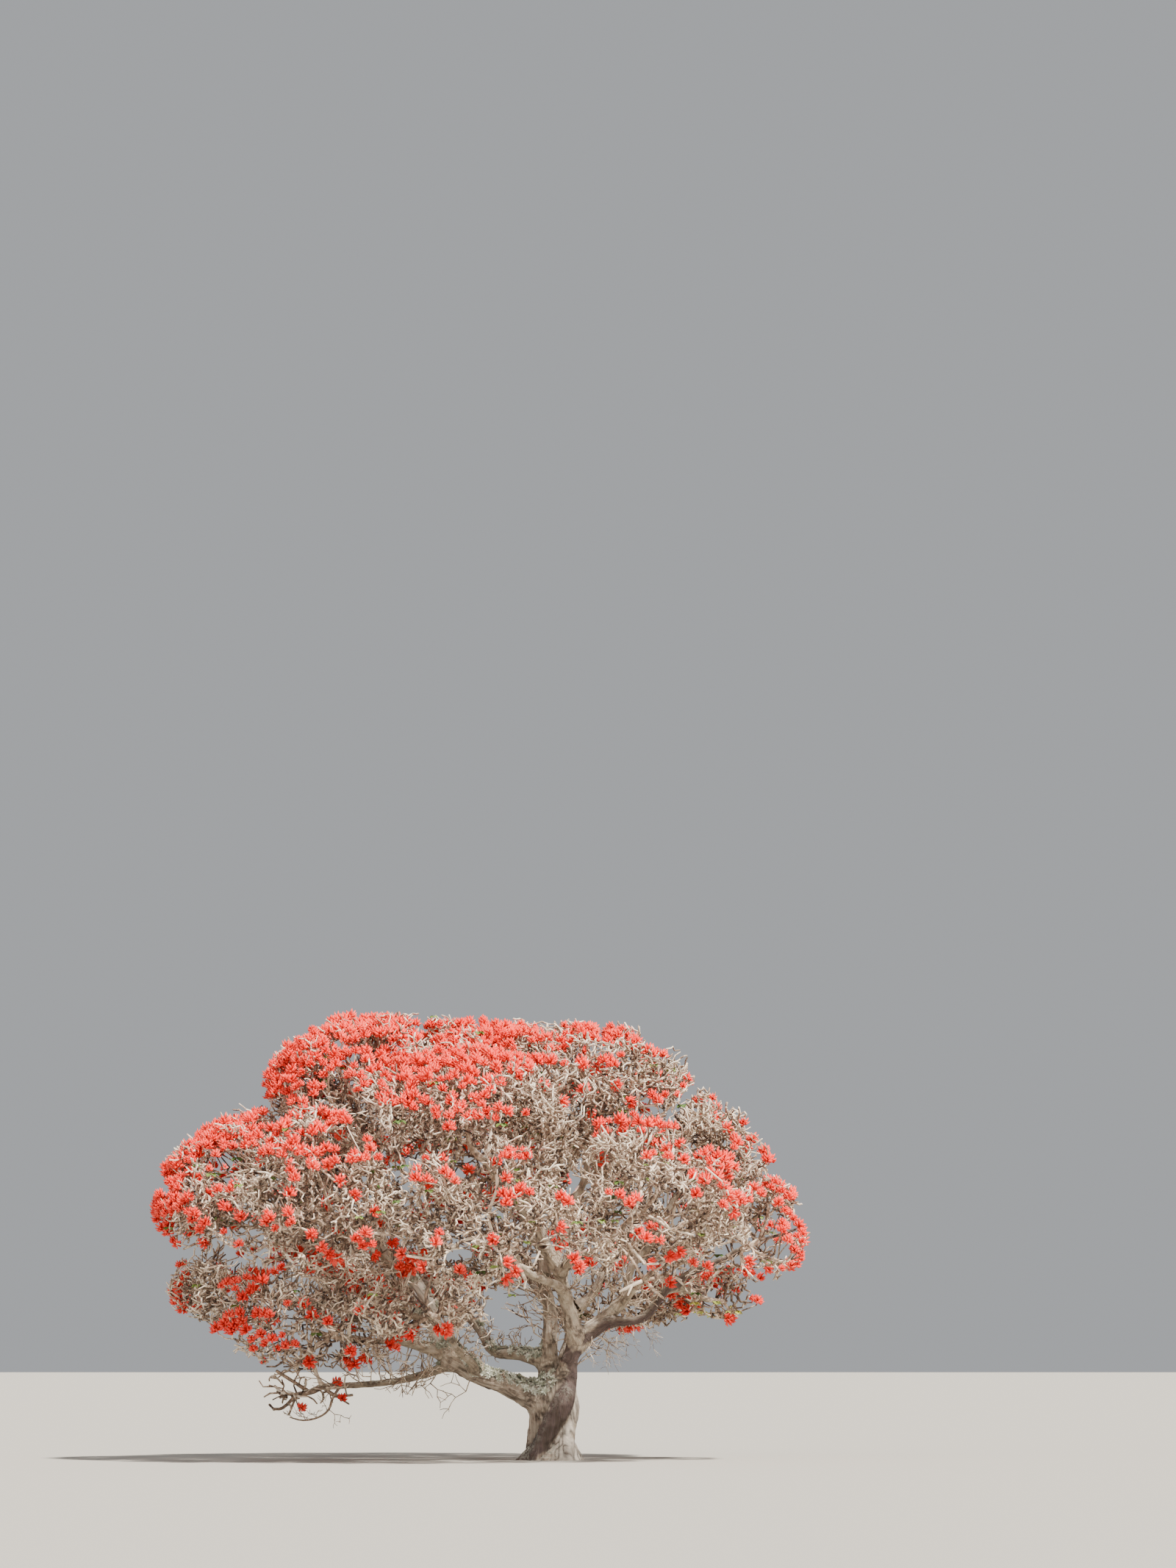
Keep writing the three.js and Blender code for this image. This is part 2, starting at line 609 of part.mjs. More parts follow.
// Builds the trunk, then each limb with all that stands before it cut out of its root.
const tree = new THREE.Group();
tree.add(meshOf(trunkSolid(), LIMB_DETAIL, "trunk", bark));
const grown = [trunkSolid(JOINT_GAP)];
for (const limb of limbs.slice(1)) {
  let solid = limbSolid(limb, 0);
  for (const earlier of grown) solid = solid.subtract(earlier);
  grown.push(limbSolid(limb, JOINT_GAP));
  const name = limb.isStem ? limb.name : "bough_" + limb.name;
  tree.add(meshOf(solid, LIMB_DETAIL, name, limb.isStem ? bark : paleBark));
}

// Builds each mass as one solid, its twigs and tufts fused.
for (const mass of masses) {
  const [x, y, z] = mass.size;
  const count = Math.round(COARSE_TWIGS * (Math.cbrt(x * y * z) / MASS_UNIT) ** 1.5);
  const skins = growMass(mass, limbs, count).map((twig) => solidOf(twigSkin(twig)));
  const fused = skins.reduce((whole, skin) => whole.add(skin));
  const material = mass.bloom < RICH_BLOOM ? sparseTwigs : blossomedTwigs;
  tree.add(meshOf(fused, TWIG_DETAIL, "twigs_" + mass.name, material));
}

export default tree;
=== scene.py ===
"""The flame tree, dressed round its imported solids: bark, crooked twigs, blossom, lichen and a few old leaves.

Metres, +Z up, -Y towards the camera. Limbs and twigs are grown again by the rule of the solids, so the main
ones lie where the solids' do, and the same rule then carries the twigs on to finer ones.
"""
import json
import math
import bpy
import numpy as np
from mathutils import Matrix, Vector

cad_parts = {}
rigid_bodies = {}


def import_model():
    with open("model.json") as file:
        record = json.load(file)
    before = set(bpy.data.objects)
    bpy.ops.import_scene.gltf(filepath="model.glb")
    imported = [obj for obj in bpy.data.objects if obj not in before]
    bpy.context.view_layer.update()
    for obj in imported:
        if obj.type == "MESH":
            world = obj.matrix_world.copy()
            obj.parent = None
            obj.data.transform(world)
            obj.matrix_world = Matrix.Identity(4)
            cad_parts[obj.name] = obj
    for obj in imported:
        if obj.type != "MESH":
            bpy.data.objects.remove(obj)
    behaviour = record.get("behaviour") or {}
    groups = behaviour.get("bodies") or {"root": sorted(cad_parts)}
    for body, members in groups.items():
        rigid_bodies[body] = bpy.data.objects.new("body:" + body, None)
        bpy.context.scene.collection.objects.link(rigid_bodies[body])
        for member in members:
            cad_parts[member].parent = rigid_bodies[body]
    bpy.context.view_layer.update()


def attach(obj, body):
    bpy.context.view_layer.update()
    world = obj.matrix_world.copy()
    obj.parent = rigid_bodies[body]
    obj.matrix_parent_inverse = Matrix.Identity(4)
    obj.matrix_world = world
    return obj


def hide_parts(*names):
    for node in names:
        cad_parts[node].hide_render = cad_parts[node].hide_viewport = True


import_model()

# Camera and studio
# A long lens at eye height a long way off, tilted up a little, as the photograph was taken. The tree stands
# low in a tall frame, on a plain floor under an even sky, with a high key light and a broad soft fill.
IMAGE_WIDTH, IMAGE_HEIGHT = 1600, 2133
PIXELS_PER_METRE = 85.0  # at the tree
TRUNK_FOOT_PIXEL = (748, 1985)
HORIZON_PIXEL = 1840
CAMERA_DISTANCE = 90.0
EYE_HEIGHT = 1.7
SENSOR = 36.0
focal_pixels = PIXELS_PER_METRE * CAMERA_DISTANCE
tilt = math.atan((HORIZON_PIXEL - IMAGE_HEIGHT / 2) / focal_pixels)


def put(name, data):
    """A new object in the scene, at the origin."""
    thing = bpy.data.objects.new(name, data)
    bpy.context.scene.collection.objects.link(thing)
    return thing


camera_data = bpy.data.cameras.new("camera")
camera_data.sensor_width = SENSOR
camera_data.lens = SENSOR * focal_pixels / IMAGE_HEIGHT
camera_data.clip_start, camera_data.clip_end = 1.0, 900.0
camera = put("camera", camera_data)
aside = (IMAGE_WIDTH / 2 - TRUNK_FOOT_PIXEL[0]) / PIXELS_PER_METRE
camera.location = (aside, -CAMERA_DISTANCE, EYE_HEIGHT)
camera.rotation_euler = (math.pi / 2 + tilt, 0, 0)
bpy.context.scene.camera = camera

FLOOR_HALF = 400.0
floor_mesh = bpy.data.meshes.new("floor")
floor_corners = [(x * FLOOR_HALF, y * FLOOR_HALF, 0) for x, y in ((-1, -1), (1, -1), (1, 1), (-1, 1))]
floor_mesh.from_pydata(floor_corners, [], [(0, 1, 2, 3)])
floor = put("floor", floor_mesh)
floor_material = bpy.data.materials.new("pale_floor")
floor_material.use_nodes = True
floor_shader = floor_material.node_tree.nodes["Principled BSDF"]
floor_shader.inputs["Base Color"].default_value = (0.42, 0.395, 0.35, 1)
floor_shader.inputs["Roughness"].default_value = 0.95
floor_mesh.materials.append(floor_material)

world = bpy.data.worlds.new("studio")
world.use_nodes = True
world.node_tree.nodes["Background"].inputs["Color"].default_value = (0.90, 0.93, 0.97, 1)
world.node_tree.nodes["Background"].inputs["Strength"].default_value = 0.46
bpy.context.scene.world = world
for name, light_from, energy, spread, colour in (
    ("key", (0.42, -0.48, 1.0), 11.0, 4, (1.0, 0.96, 0.89)),
    ("fill", (-0.6, -0.9, 0.4), 1.1, 70, (1.0, 0.97, 0.94)),
):
    lamp = bpy.data.lights.new(name, "SUN")
    lamp.energy = energy
    lamp.angle = math.radians(spread)
    lamp.color = colour
    light = put(name, lamp)
    light.rotation_mode = "QUATERNION"
    light.rotation_quaternion = Vector(light_from).to_track_quat("Z", "Y")

# Limbs: the paths that trunk, stems and boughs follow
# A coral tree forks low into a few heavy stems, and these into crooked boughs. Each limb is a smooth curve
# from a place on its parent to its tip, with its knots pushed aside by a seeded bend.
TRUNK_HEIGHT = 1.26
TRUNK_RADIUS = 0.322
TRUNK_LEAN = 0.115
LIMB_STEP = 0.5
LIMB_CROOK = 0.1
BOUGH_ENTERS = 0.78
BOUGH_TIP_RADIUS = 0.052
BOUGH_TAPER = 0.8
DOWN_SHARE = 0.62
STEM_SHARE = 0.85

# name, parent, share of the parent's length, heading in degrees, tip, radius at the root and at the tip
STEMS = (
    ("left_fork", "trunk", 0.68, (180, 8), (-1.62, -0.18, 1.68), 0.185, 0.138),
    ("centre_stem", "trunk", 0.72, (120, 70), (-0.09, 0.24, 2.8), 0.15, 0.1),
    ("right_stem", "trunk", 0.72, (-25, 68), (0.47, -0.14, 1.9), 0.155, 0.108),
    ("back_stem", "trunk", 0.74, (60, 48), (0.33, 1.08, 2.35), 0.15, 0.105),
    ("left_rise", "left_fork", 0.93, (165, 62), (-2.72, -0.33, 3.55), 0.128, 0.082),
    ("front_stem", "right_stem", 0.94, (190, 75), (-0.06, -0.76, 3.33), 0.11, 0.08),
)
# name, parent, share, heading, radius at the root, middle of its mass, half size of its mass, bloom
BOUGHS = (
    ("top_left", "left_rise", 1, (100, 60), 0.078, (-3.1, 0.1, 5.76), (1.4, 1.65, 1.4), 0.95),
    ("top_centre", "centre_stem", 1, (100, 75), 0.09, (-1.06, 0.5, 5.74), (1.5, 1.65, 1.25), 0.9),
    ("top_right", "front_stem", 0.85, (35, 50), 0.072, (0.85, -0.1, 5.6), (1.5, 1.65, 1.32), 0.75),
    ("top_front", "front_stem", 1, (230, 60), 0.074, (-1.25, -2.35, 5.0), (2.1, 1.6, 1.42), 0.6),
    ("top_back", "back_stem", 1, (130, 65), 0.084, (-1.05, 2.6, 5.0), (2.15, 1.6, 1.42), 0.75),
    ("left_shoulder", "left_rise", 0.96, (178, 25), 0.074, (-4.85, -0.2, 4.12), (1.43, 1.85, 1.33), 0.85),
    ("left_front", "left_rise", 0.62, (235, 30), 0.07, (-3.35, -2.55, 3.85), (1.65, 1.5, 1.38), 0.55),
    ("front", "front_stem", 0.45, (255, 20), 0.07, (-0.85, -3.45, 3.5), (1.65, 1.3, 1.28), 0.4),
    ("right_front", "front_stem", 0.7, (310, 35), 0.068, (1.45, -2.55, 3.85), (1.6, 1.5, 1.3), 0.45),
    ("right_shoulder", "right_stem", 0.97, (12, 30), 0.078, (2.25, 0, 4.45), (1.25, 1.7, 1.22), 0.5),
    ("right_back", "back_stem", 0.97, (30, 40), 0.076, (1.45, 2.65, 3.9), (1.6, 1.5, 1.3), 0.6),
    ("back", "back_stem", 0.8, (110, 25), 0.076, (-0.95, 3.5, 3.55), (1.7, 1.3, 1.28), 0.6),
    ("left_back", "centre_stem", 0.34, (172, 4), 0.092, (-3.35, 2.5, 3.9), (1.65, 1.5, 1.3), 0.6),
    ("left_skirt", "left_rise", 0.3, (190, 12), 0.07, (-4.85, 0.1, 2.65), (1.23, 1.5, 0.85), 0.75),
    ("left_low", "left_fork", 0.97, (215, 12), 0.074, (-3.7, -1.4, 2.05), (1.5, 1.2, 1.0), 0.75),
    ("droop", "left_fork", 0.9, (184, -38), 0.062, (-4.02, -0.15, 1.03), (0.95, 0.72, 0.56), 0.12),
    ("front_low", "left_fork", 0.72, (250, 25), 0.062, (-1.95, -2.5, 2.42), (1.1, 1.1, 0.76), 0.45),
    ("back_low_left", "left_back", 0.5, (140, 5), 0.058, (-2.6, 2.15, 2.38), (1.25, 1.2, 0.76), 0.5),
    ("back_low_right", "back_stem", 0.7, (45, 8), 0.064, (1.25, 2.5, 2.52), (1.25, 1.2, 0.76), 0.5),
    ("right_tip", "right_stem", 1, (-4, 14), 0.082, (3.33, -0.25, 3.48), (0.87, 1.3, 0.85), 0.75),
    ("right_inner", "right_shoulder", 0.32, (-30, 20), 0.056, (1.65, -1.0, 2.98), (0.88, 0.95, 0.7), 0.35),
    ("right_low", "right_tip", 0.62, (5, 2), 0.054, (2.78, 0.42, 2.52), (0.85, 0.9, 0.52), 0.6),
)


def chance(seed, item, draw):
    """A number from 0 to 1 from three whole numbers or arrays: each times an odd constant, mixed by xor."""
    mask = 0xFFFFFFFF
    h = ((seed + 1) * 0x9E3779B1 & mask) ^ ((item + 1) * 0x85EBCA6B & mask) ^ ((draw + 1) * 0xC2B2AE35 & mask)
    h = (h ^ h >> 15) * 0x2C1B3C6D & mask
    h = (h ^ h >> 12) * 0x297A2D39 & mask
    return (h ^ h >> 15) / 2**32


def unit(v):
    """v over its length."""
    return v / np.linalg.norm(v, axis=-1, keepdims=True)


def heading(azimuth, elevation):
    """(cos a cos e, sin a cos e, sin e), in degrees."""
    a, e = math.radians(azimuth), math.radians(elevation)
    return np.array((math.cos(a) * math.cos(e), math.sin(a) * math.cos(e), math.sin(e)))


def sides_of(axis):
    """Two unit vectors square to each axis: the first is level, unless the axis is near upright."""
    side = unit(np.cross(np.where(np.abs(axis[..., 2:3]) < 0.9, (0.0, 0.0, 1.0), (1.0, 0.0, 0.0)), axis))
    return side, np.cross(axis, side)


def crooked_path(start, leave, end, arrive, steps, crook, seed, item):
    """The cubic from start along leave to end along arrive at equal steps; inner knots move aside by
    crook * length / sqrt(steps) * (0.5 to 1), at a seeded angle about the chord."""
    pull = np.linalg.norm(end - start)
    t = np.linspace(0, 1, steps + 1)[:, None]
    points = start * (2 * t**3 - 3 * t**2 + 1) + leave * pull * (t**3 - 2 * t**2 + t)
    points += end * (3 * t**2 - 2 * t**3) + arrive * pull * (t**3 - t**2)
    if steps > 1:
        side, other = sides_of((end - start) / pull)
        for k in range(1, steps):
            angle = 2 * math.pi * chance(seed, item, 2 * k)
            push = crook * pull / math.sqrt(steps) * (0.5 + 0.5 * chance(seed, item, 2 * k + 1))
            points[k] += push * (side * math.cos(angle) + other * math.sin(angle))
    return points


def tangents(points):
    """Unit directions along paths: from the knot before to the knot after."""
    ahead = np.concatenate([points[..., 1:, :], points[..., -1:, :]], axis=-2)
    behind = np.concatenate([points[..., :1, :], points[..., :-1, :]], axis=-2)
    return unit(ahead - behind)


def trunk_middle(z):
    """The trunk's middle at height z: x = lean * sin(pi z / 2 H)."""
    return np.stack([TRUNK_LEAN * np.sin(0.5 * np.pi * z / TRUNK_HEIGHT), 0 * z, z], axis=-1)


def along_limb(limb, share):
    """The point at a share of a limb's knots."""
    steps = len(limb["points"]) - 1
    k = min(int(share * steps), steps - 1)
    rest = share * steps - k
    return limb["points"][k] * (1 - rest) + limb["points"][k + 1] * rest


def grow_limb(name, parent, share, leave, tip, arrive, radii, seed):
    """A limb from its parent to its tip: a crooked path whose radius falls evenly."""
    start = along_limb(parent, share)
    steps = max(3, round(np.linalg.norm(tip - start) / LIMB_STEP))
    points = crooked_path(start, heading(*leave), tip, arrive, steps, LIMB_CROOK, seed, 0)
    return {"name": name, "points": points, "radii": np.linspace(*radii, steps + 1), "parent": parent}


limbs = {"trunk": {"name": "trunk", "points": trunk_middle(np.linspace(0, TRUNK_HEIGHT, 5)),
                   "radii": np.full(5, TRUNK_RADIUS), "parent": None}}
for seed, (name, parent, share, leave, tip, thick, thin) in enumerate(STEMS):
    tip = np.array(tip)
    arrive = unit(tip - along_limb(limbs[parent], share))
    limbs[name] = grow_limb(name, limbs[parent], share, leave, tip, arrive, (thick, thin), seed)

masses = []
for k, (name, parent, share, leave, thick, middle, size, bloom) in enumerate(BOUGHS):
    middle = np.array(middle)
    inward = unit(middle - along_limb(limbs[parent], share))
    half = np.array(size) * (1, 1, 1 if -inward[2] > 0 else DOWN_SHARE)
    tip = middle - inward * BOUGH_ENTERS / np.linalg.norm(inward / half)
    thin = min(BOUGH_TIP_RADIUS, BOUGH_TAPER * thick)
    radii = (thick, thin)
    bough = grow_limb("bough_" + name, limbs[parent], share, leave, tip, inward, radii, len(STEMS) + k)
    limbs[name] = bough
    masses.append({
        "name": name, "index": k, "seed": 100 + k, "middle": middle, "size": np.array(size), "bloom": bloom,
        "root": tip, "direction": tangents(bough["points"])[-1], "stem": STEM_SHARE * thin,
    })

# Twigs: where each one grows
# Every bough ends in one mass of stubby, crooked, upturned twigs. They grow one by one to an even sequence of
# targets in the mass's own space, each from the nearest good place on the wood before it. The first ones are
# the solids' own, and the rest carry the rule on: finer wood that fills the crown, and then flowering spurs.
JOINT_GAP = 0.0003
LIMB_CLEARANCE = 0.025  # between a twig and a limb that it doesn't leave
SPACE_CLEARANCE = 0.018  # between a twig and the plane that parts its mass from the next
COARSE_TWIGS = 17.6  # of a mass whose mean half size is one unit
MASS_UNIT = 1.35
STEM_FOOT = 0.07
TWIG_TIP_RADIUS = 0.008
TWIG_STOUT = 1.35
TWIG_FADE = 0.42
TWIG_LONG = 0.9  # a coarse twig longer than this has three stretches, and one shorter than the next has one
TWIG_SHORT = 0.43
TWIG_CROOK = 0.13
TWIG_FOLLOW = 0.5
TURN_COST = 0.6
REACH_COST = 0.25
CROWN_BLEND = (6, 1)  # the power of the blend, and how far out the crown's outside is
MOST_REACH = 1.3
SHELL_FROM = 0.94
HIDDEN_DEPTH = 0.95  # inside this depth of another mass, these shares of twigs and of blossom are kept
HIDDEN_TWIGS = 0.25
HIDDEN_BLOOM = 0.15
MOST_TRIES = 60
LOOK_STEP = 0.11
TUFT_RADIUS = 0.118
TUFT_LENGTH = 0.23
TUFT_WIDEST = 0.45
EVEN_ROOT = 1.2207440846  # the root of x^4 = x + 1, whose powers spread three numbers evenly
PLACE_STEPS = 3  # places to fork from on each stretch of a main twig
COARSE_STOUT = (1.4, 0.008)  # the coarse twigs as drawn are this much stouter, and by this many metres
FINE_PER_VOLUME = 470  # targets for finer twigs in each cubic metre of a mass's box
CLUMP = np.array((0.42, 1.1, 0.38))  # size of the clumps in which twigs crowd
CLUMP_EDGE = (0.38, 0.55)
LUMP = 0.42  # size of the lumps and hollows of the crown's outside, and how deep the hollows go
HOLLOW = 0.1
FINE_CROWN = (0.25, 0.8)  # they fill in between these depths of the crown
HEART = (-1.0, 0.0, 2.3)  # the crown's open middle
INNER_SHARE = 0.4  # of them kept on the side of a mass that faces the middle
FACING_EDGE = (-0.7, 0.3)
FINE_RADIUS = (0.0155, 0.027)
FINE_BLEND = (3.5, 0.955)  # finer twigs fill the valleys between masses more than the coarse ones do
# limbs seen through gaps in the crown's front
SHOWING = ("left_rise", "centre_stem", "front_stem", "right_stem", "right_tip", "right_shoulder")
SHOW_WIDTH = 0.27
SHOW_SHARE = 0.04  # of the fine twigs kept in such a gap
SPARSE = {"droop": 0.3, "left_low": 0.75, "left_skirt": 0.8}  # and of those kept in these masses
SPUR_RADIUS = 0.014
BLOOM_PER_AREA = 120  # tufts tried for each square metre of a mass's outside
SPUR_TUFT = (0.62, 1.08)  # size of the spurs' tufts against the solids' own
TUFT_APART = 0.118
# size of the patches in which tufts crowd, and the heights and places from side to side where that changes
PATCH = np.array((0.55, 0.55, 0.32))
HIGH_BLOOM, LOW_BLOOM = (4.6, 6.2), (2.2, 3.2)
LEFT_BLOOM, LEFT_RIM, RIGHT_RIM = (1.2, -2.2), (-4.5, -5.9), (2.4, 3.8)

MIDDLES = np.array([mass["middle"] for mass in masses])
SIZES = np.array([mass["size"] for mass in masses])


def depths_in(points):
    """How far out in each mass each point lies: |away / half size|, 0 at the middle and 1 at the edge."""
    away = points[..., None, :] - MIDDLES
    half = np.broadcast_to(SIZES, away.shape).copy()
    half[..., 2] *= np.where(away[..., 2] > 0, 1, DOWN_SHARE)
    return np.linalg.norm(away / half, axis=-1)


def depth_in_crown(depths, blend=CROWN_BLEND):
    """The masses' depths blended, so that they fill the valleys between them: (sum d^-n)^(-1/n) / reach."""
    power, reach = blend
    return (np.maximum(depths, 1e-6) ** -float(power)).sum(-1) ** (-1 / power) / reach


def half_sizes(size, downward):
    """The half sizes that hold above or below a mass's middle."""
    return size * (1, 1, DOWN_SHARE if downward else 1)


def support(mass, direction):
    """Distance from the middle to the plane that touches the mass on one side: |half size * direction|."""
    return np.linalg.norm(direction * half_sizes(mass["size"], direction[2] <= 0))


for mass in masses:
    planes = []
    for other in masses:
        if other is mass:
            continue
        between = other["middle"] - mass["middle"]
        away = unit(between)
        mine, theirs = support(mass, away), support(other, -away)
        planes.append((*away, np.linalg.norm(between) * mine / (mine + theirs)))
    mass["planes"] = np.array(planes)

stretches = [(limb["points"][:-1], limb["points"][1:], limb["radii"][:-1]) for limb in limbs.values()]
STRETCH_FROM, STRETCH_TO, STRETCH_RADIUS = (np.concatenate(part) for part in zip(*stretches))
STRETCH_ALONG = STRETCH_TO - STRETCH_FROM
STRETCH_SQUARE = (STRETCH_ALONG**2).sum(-1)


def clear_of_limbs(points, radius):
    """Which balls miss every limb: the distance to each stretch is over both radii and a clearance."""
    away = points[:, None] - STRETCH_FROM
    share = np.clip((away * STRETCH_ALONG).sum(-1) / STRETCH_SQUARE, 0, 1)
    distance = np.linalg.norm(away - share[..., None] * STRETCH_ALONG, axis=-1)
    return (distance > STRETCH_RADIUS + np.reshape(radius, (-1, 1)) + LIMB_CLEARANCE).all(-1)


def parted(mass, points, radius):
    """Which balls stay on their mass's side of each plane between two masses."""
    reach = (points - mass["middle"]) @ mass["planes"][:, :3].T
    return (reach + np.reshape(radius, (-1, 1)) + SPACE_CLEARANCE < mass["planes"][:, 3]).all(-1)


def in_space(mass, points, radius, blend):
    """Which balls keep to their mass's own space in the crown."""
    depths = depths_in(points)
    inside = (depths[..., mass["index"]] < MOST_REACH) & (depth_in_crown(depths, blend) < 1.001)
    return inside & parted(mass, points, radius)


def is_hidden(mass, points):
    """Which points are inside the crown, in the reach of another mass."""
    depths = depths_in(points)
    depths[..., mass["index"]] = np.inf
    return (depths < HIDDEN_DEPTH).any(-1)


def even_shares(mass, item, draw):
    """The item's three numbers of an even sequence: the fractions of a start + item / root^k, k = 1, 2, 3."""
    return [(chance(mass["seed"], 0, draw + k) + item / EVEN_ROOT**k) % 1 for k in (1, 2, 3)]


def shell_target(mass, shares, blend):
    """A point of the mass's outer shell, for three shares from 0 to 1. The direction is spread evenly over
    the ball, and the reach r is found from r -> r / depth in the crown there, three times over."""
    u, v, w = shares
    height = 2 * u - 1
    across = math.sqrt(1 - height * height)
    direction = np.array((across * math.cos(2 * math.pi * v), across * math.sin(2 * math.pi * v), height))
    own = 1 / np.linalg.norm(direction / half_sizes(mass["size"], height <= 0))
    share = 1.0
    for _ in range(3):
        depth = depth_in_crown(depths_in(mass["middle"] + direction * share * own), blend)
        share = min(share / depth, MOST_REACH)
    return mass["middle"] + direction * share * own * (SHELL_FROM + (1 - SHELL_FROM) * w)


def value_noise(points, seed):
    """Smooth noise from 0 to 1: random numbers at whole points, blended by t^2 (3 - 2 t) along each axis."""
    cell = np.floor(points).astype(np.int64)
    t = points - cell
    t = t * t * (3 - 2 * t)
    total = np.zeros(len(points))
    for corner in np.ndindex(2, 2, 2):
        at = cell + corner + 4096
        weight = np.prod(np.where(corner, t, 1 - t), axis=-1)
        total += weight * chance(seed + at[:, 2] * 131, at[:, 0], at[:, 1])
    return total


class Places:
    """The places on a mass's wood that new twigs fork from, in arrays that fill up."""

    def __init__(self, most):
        self.count = 0
        self.points = np.zeros((most, 3))
        self.directions = np.zeros((most, 3))
        self.radii = np.zeros(most)
        self.along = np.zeros(most)

    def add(self, points, radii, along, length):
        """Adds the knots given of a twig, whose length runs on from along."""
        fresh = slice(self.count, self.count + len(points))
        self.points[fresh] = points
        self.directions[fresh] = tangents(points) if len(points) > 1 else (0, 0, 1)
        self.radii[fresh] = radii
        self.along[fresh] = along + length * np.linspace(0, 1, len(points))
        self.count = fresh.stop

    def drop(self, first, last):
        """Forgets places from first up to last, so that nothing forks from them."""
        for array in (self.points, self.directions, self.radii, self.along):
            array[first : self.count - last + first] = array[last : self.count]
        self.count -= last - first

    def best(self, target):
        """The place with the least distance * (1 + turn) + share of the length along the wood."""
        away = target - self.points[: self.count]
        distance = np.sqrt((away**2).sum(-1))
        turn = 1 - (self.directions[: self.count] * away).sum(-1) / np.maximum(distance, 0.001)
        return int(np.argmin(distance * (1 + TURN_COST * turn) + REACH_COST * self.along[: self.count]))


# How each kind of twig grows: its lift, crook, girth as a share of the wood that it leaves, taper, least
# radius, stretches (0: by its length), most length (short of a target farther off), and blend of the crown
COARSE = {"lift": 0.55, "crook": TWIG_CROOK, "share": 0.62, "taper": 0.55, "least": 0.7 * TWIG_TIP_RADIUS,
          "steps": 0, "most": math.inf, "blend": CROWN_BLEND}
FINE = {"lift": 0.8, "crook": 0.42, "share": 1.2, "taper": 0.78, "least": 0.012,
        "steps": 2, "most": 0.27, "blend": FINE_BLEND}
SPUR = {**FINE, "lift": 1.1, "crook": TWIG_CROOK, "share": 1.0, "most": math.inf}


def grow_twig(mass, places, place, target, item, nominal, tuft, habit):
    """A twig from a place to a target, or None where it leaves its space or meets a limb. One that flowers
    ends a tuft's length short of the target."""
    origin = places.points[place]
    chord = unit(target - origin)
    leave = unit(chord + TWIG_FOLLOW * places.directions[place])
    arrive = unit(chord + (0, 0, habit["lift"]))
    end = target - arrive * TUFT_LENGTH * tuft
    length = math.dist(end, origin)
    if length > habit["most"]:
        end = origin + (end - origin) * habit["most"] / length
        length = habit["most"]
    steps = habit["steps"] or (3 if length > TWIG_LONG else 2 if length > TWIG_SHORT else 1)
    points = crooked_path(origin, leave, end, arrive, steps, habit["crook"], mass["seed"], item)
    base = min(habit["share"] * places.radii[place], nominal)
    radii = np.maximum(base * (1 - (1 - habit["taper"]) * np.linspace(0, 1, steps + 1)), habit["least"])
    stout = radii[:-1] * TWIG_STOUT
    if not in_space(mass, points[1:], stout, habit["blend"]).all():
        return None
    looks = math.ceil(length / steps / LOOK_STEP)
    shares = (np.arange(looks) + 1)[None, :, None] / looks
    seen = (points[:-1, None] + (points[1:] - points[:-1])[:, None] * shares).reshape(-1, 3)
    if not clear_of_limbs(seen, np.repeat(stout, looks)).all():
        return None
    if tuft:
        widest, wide = (end + (target - end) * TUFT_WIDEST)[None], TUFT_RADIUS * tuft
        if not (parted(mass, widest, wide)[0] and clear_of_limbs(widest, wide)[0]):
            return None
    return {"points": points, "radii": radii, "tuft": tuft, "length": length, "target": target,
            "item": item, "habit": habit, "along": places.along[place]}


def grow_coarse(mass):
    """The solids' own twigs, the first of which is the mass's stem. Gives them, and the last item used."""
    foot = mass["root"] + mass["direction"] * JOINT_GAP
    start = foot + mass["direction"] * STEM_FOOT
    inward = unit(mass["middle"] - start)
    path = crooked_path(start, mass["direction"], mass["middle"], inward, 3, TWIG_CROOK / 2, mass["seed"], 0)
    length = math.dist(mass["middle"], start)
    stem = {"points": np.vstack([foot, path]), "radii": np.linspace(1, 0.6, 5) * mass["stem"], "tuft": 0,
            "length": length, "target": None, "item": 0, "habit": COARSE, "along": 0.0}
    count = round(COARSE_TWIGS * (np.prod(mass["size"]) ** (1 / 3) / MASS_UNIT) ** 1.5)
    places = Places(6 * count + 20)
    places.add(stem["points"], stem["radii"], 0, length)
    places.drop(0, 2)
    twigs, item = [stem], 0
    while len(twigs) <= count and item + 1 < MOST_TRIES * count:
        item += 1
        target = shell_target(mass, even_shares(mass, item, 0), CROWN_BLEND)
        if not in_space(mass, target[None], TWIG_TIP_RADIUS, CROWN_BLEND)[0]:
            continue
        inside = is_hidden(mass, target)
        if inside and chance(mass["seed"], item, 12) > HIDDEN_TWIGS:
            continue
        blooms = chance(mass["seed"], item, 11) < mass["bloom"] * (HIDDEN_BLOOM if inside else 1)
        nominal = max(mass["stem"] * (len(twigs) + 1) ** -TWIG_FADE, TWIG_TIP_RADIUS)
        place = places.best(target)
        twig = grow_twig(mass, places, place, target, item, nominal, 1.0 if blooms else 0, COARSE)
        if twig:
            twigs.append(twig)
            first = places.count
            places.add(twig["points"], twig["radii"], twig["along"], twig["length"])
            if blooms:
                places.count -= 1
            places.drop(first, first + 1)
    return twigs, item


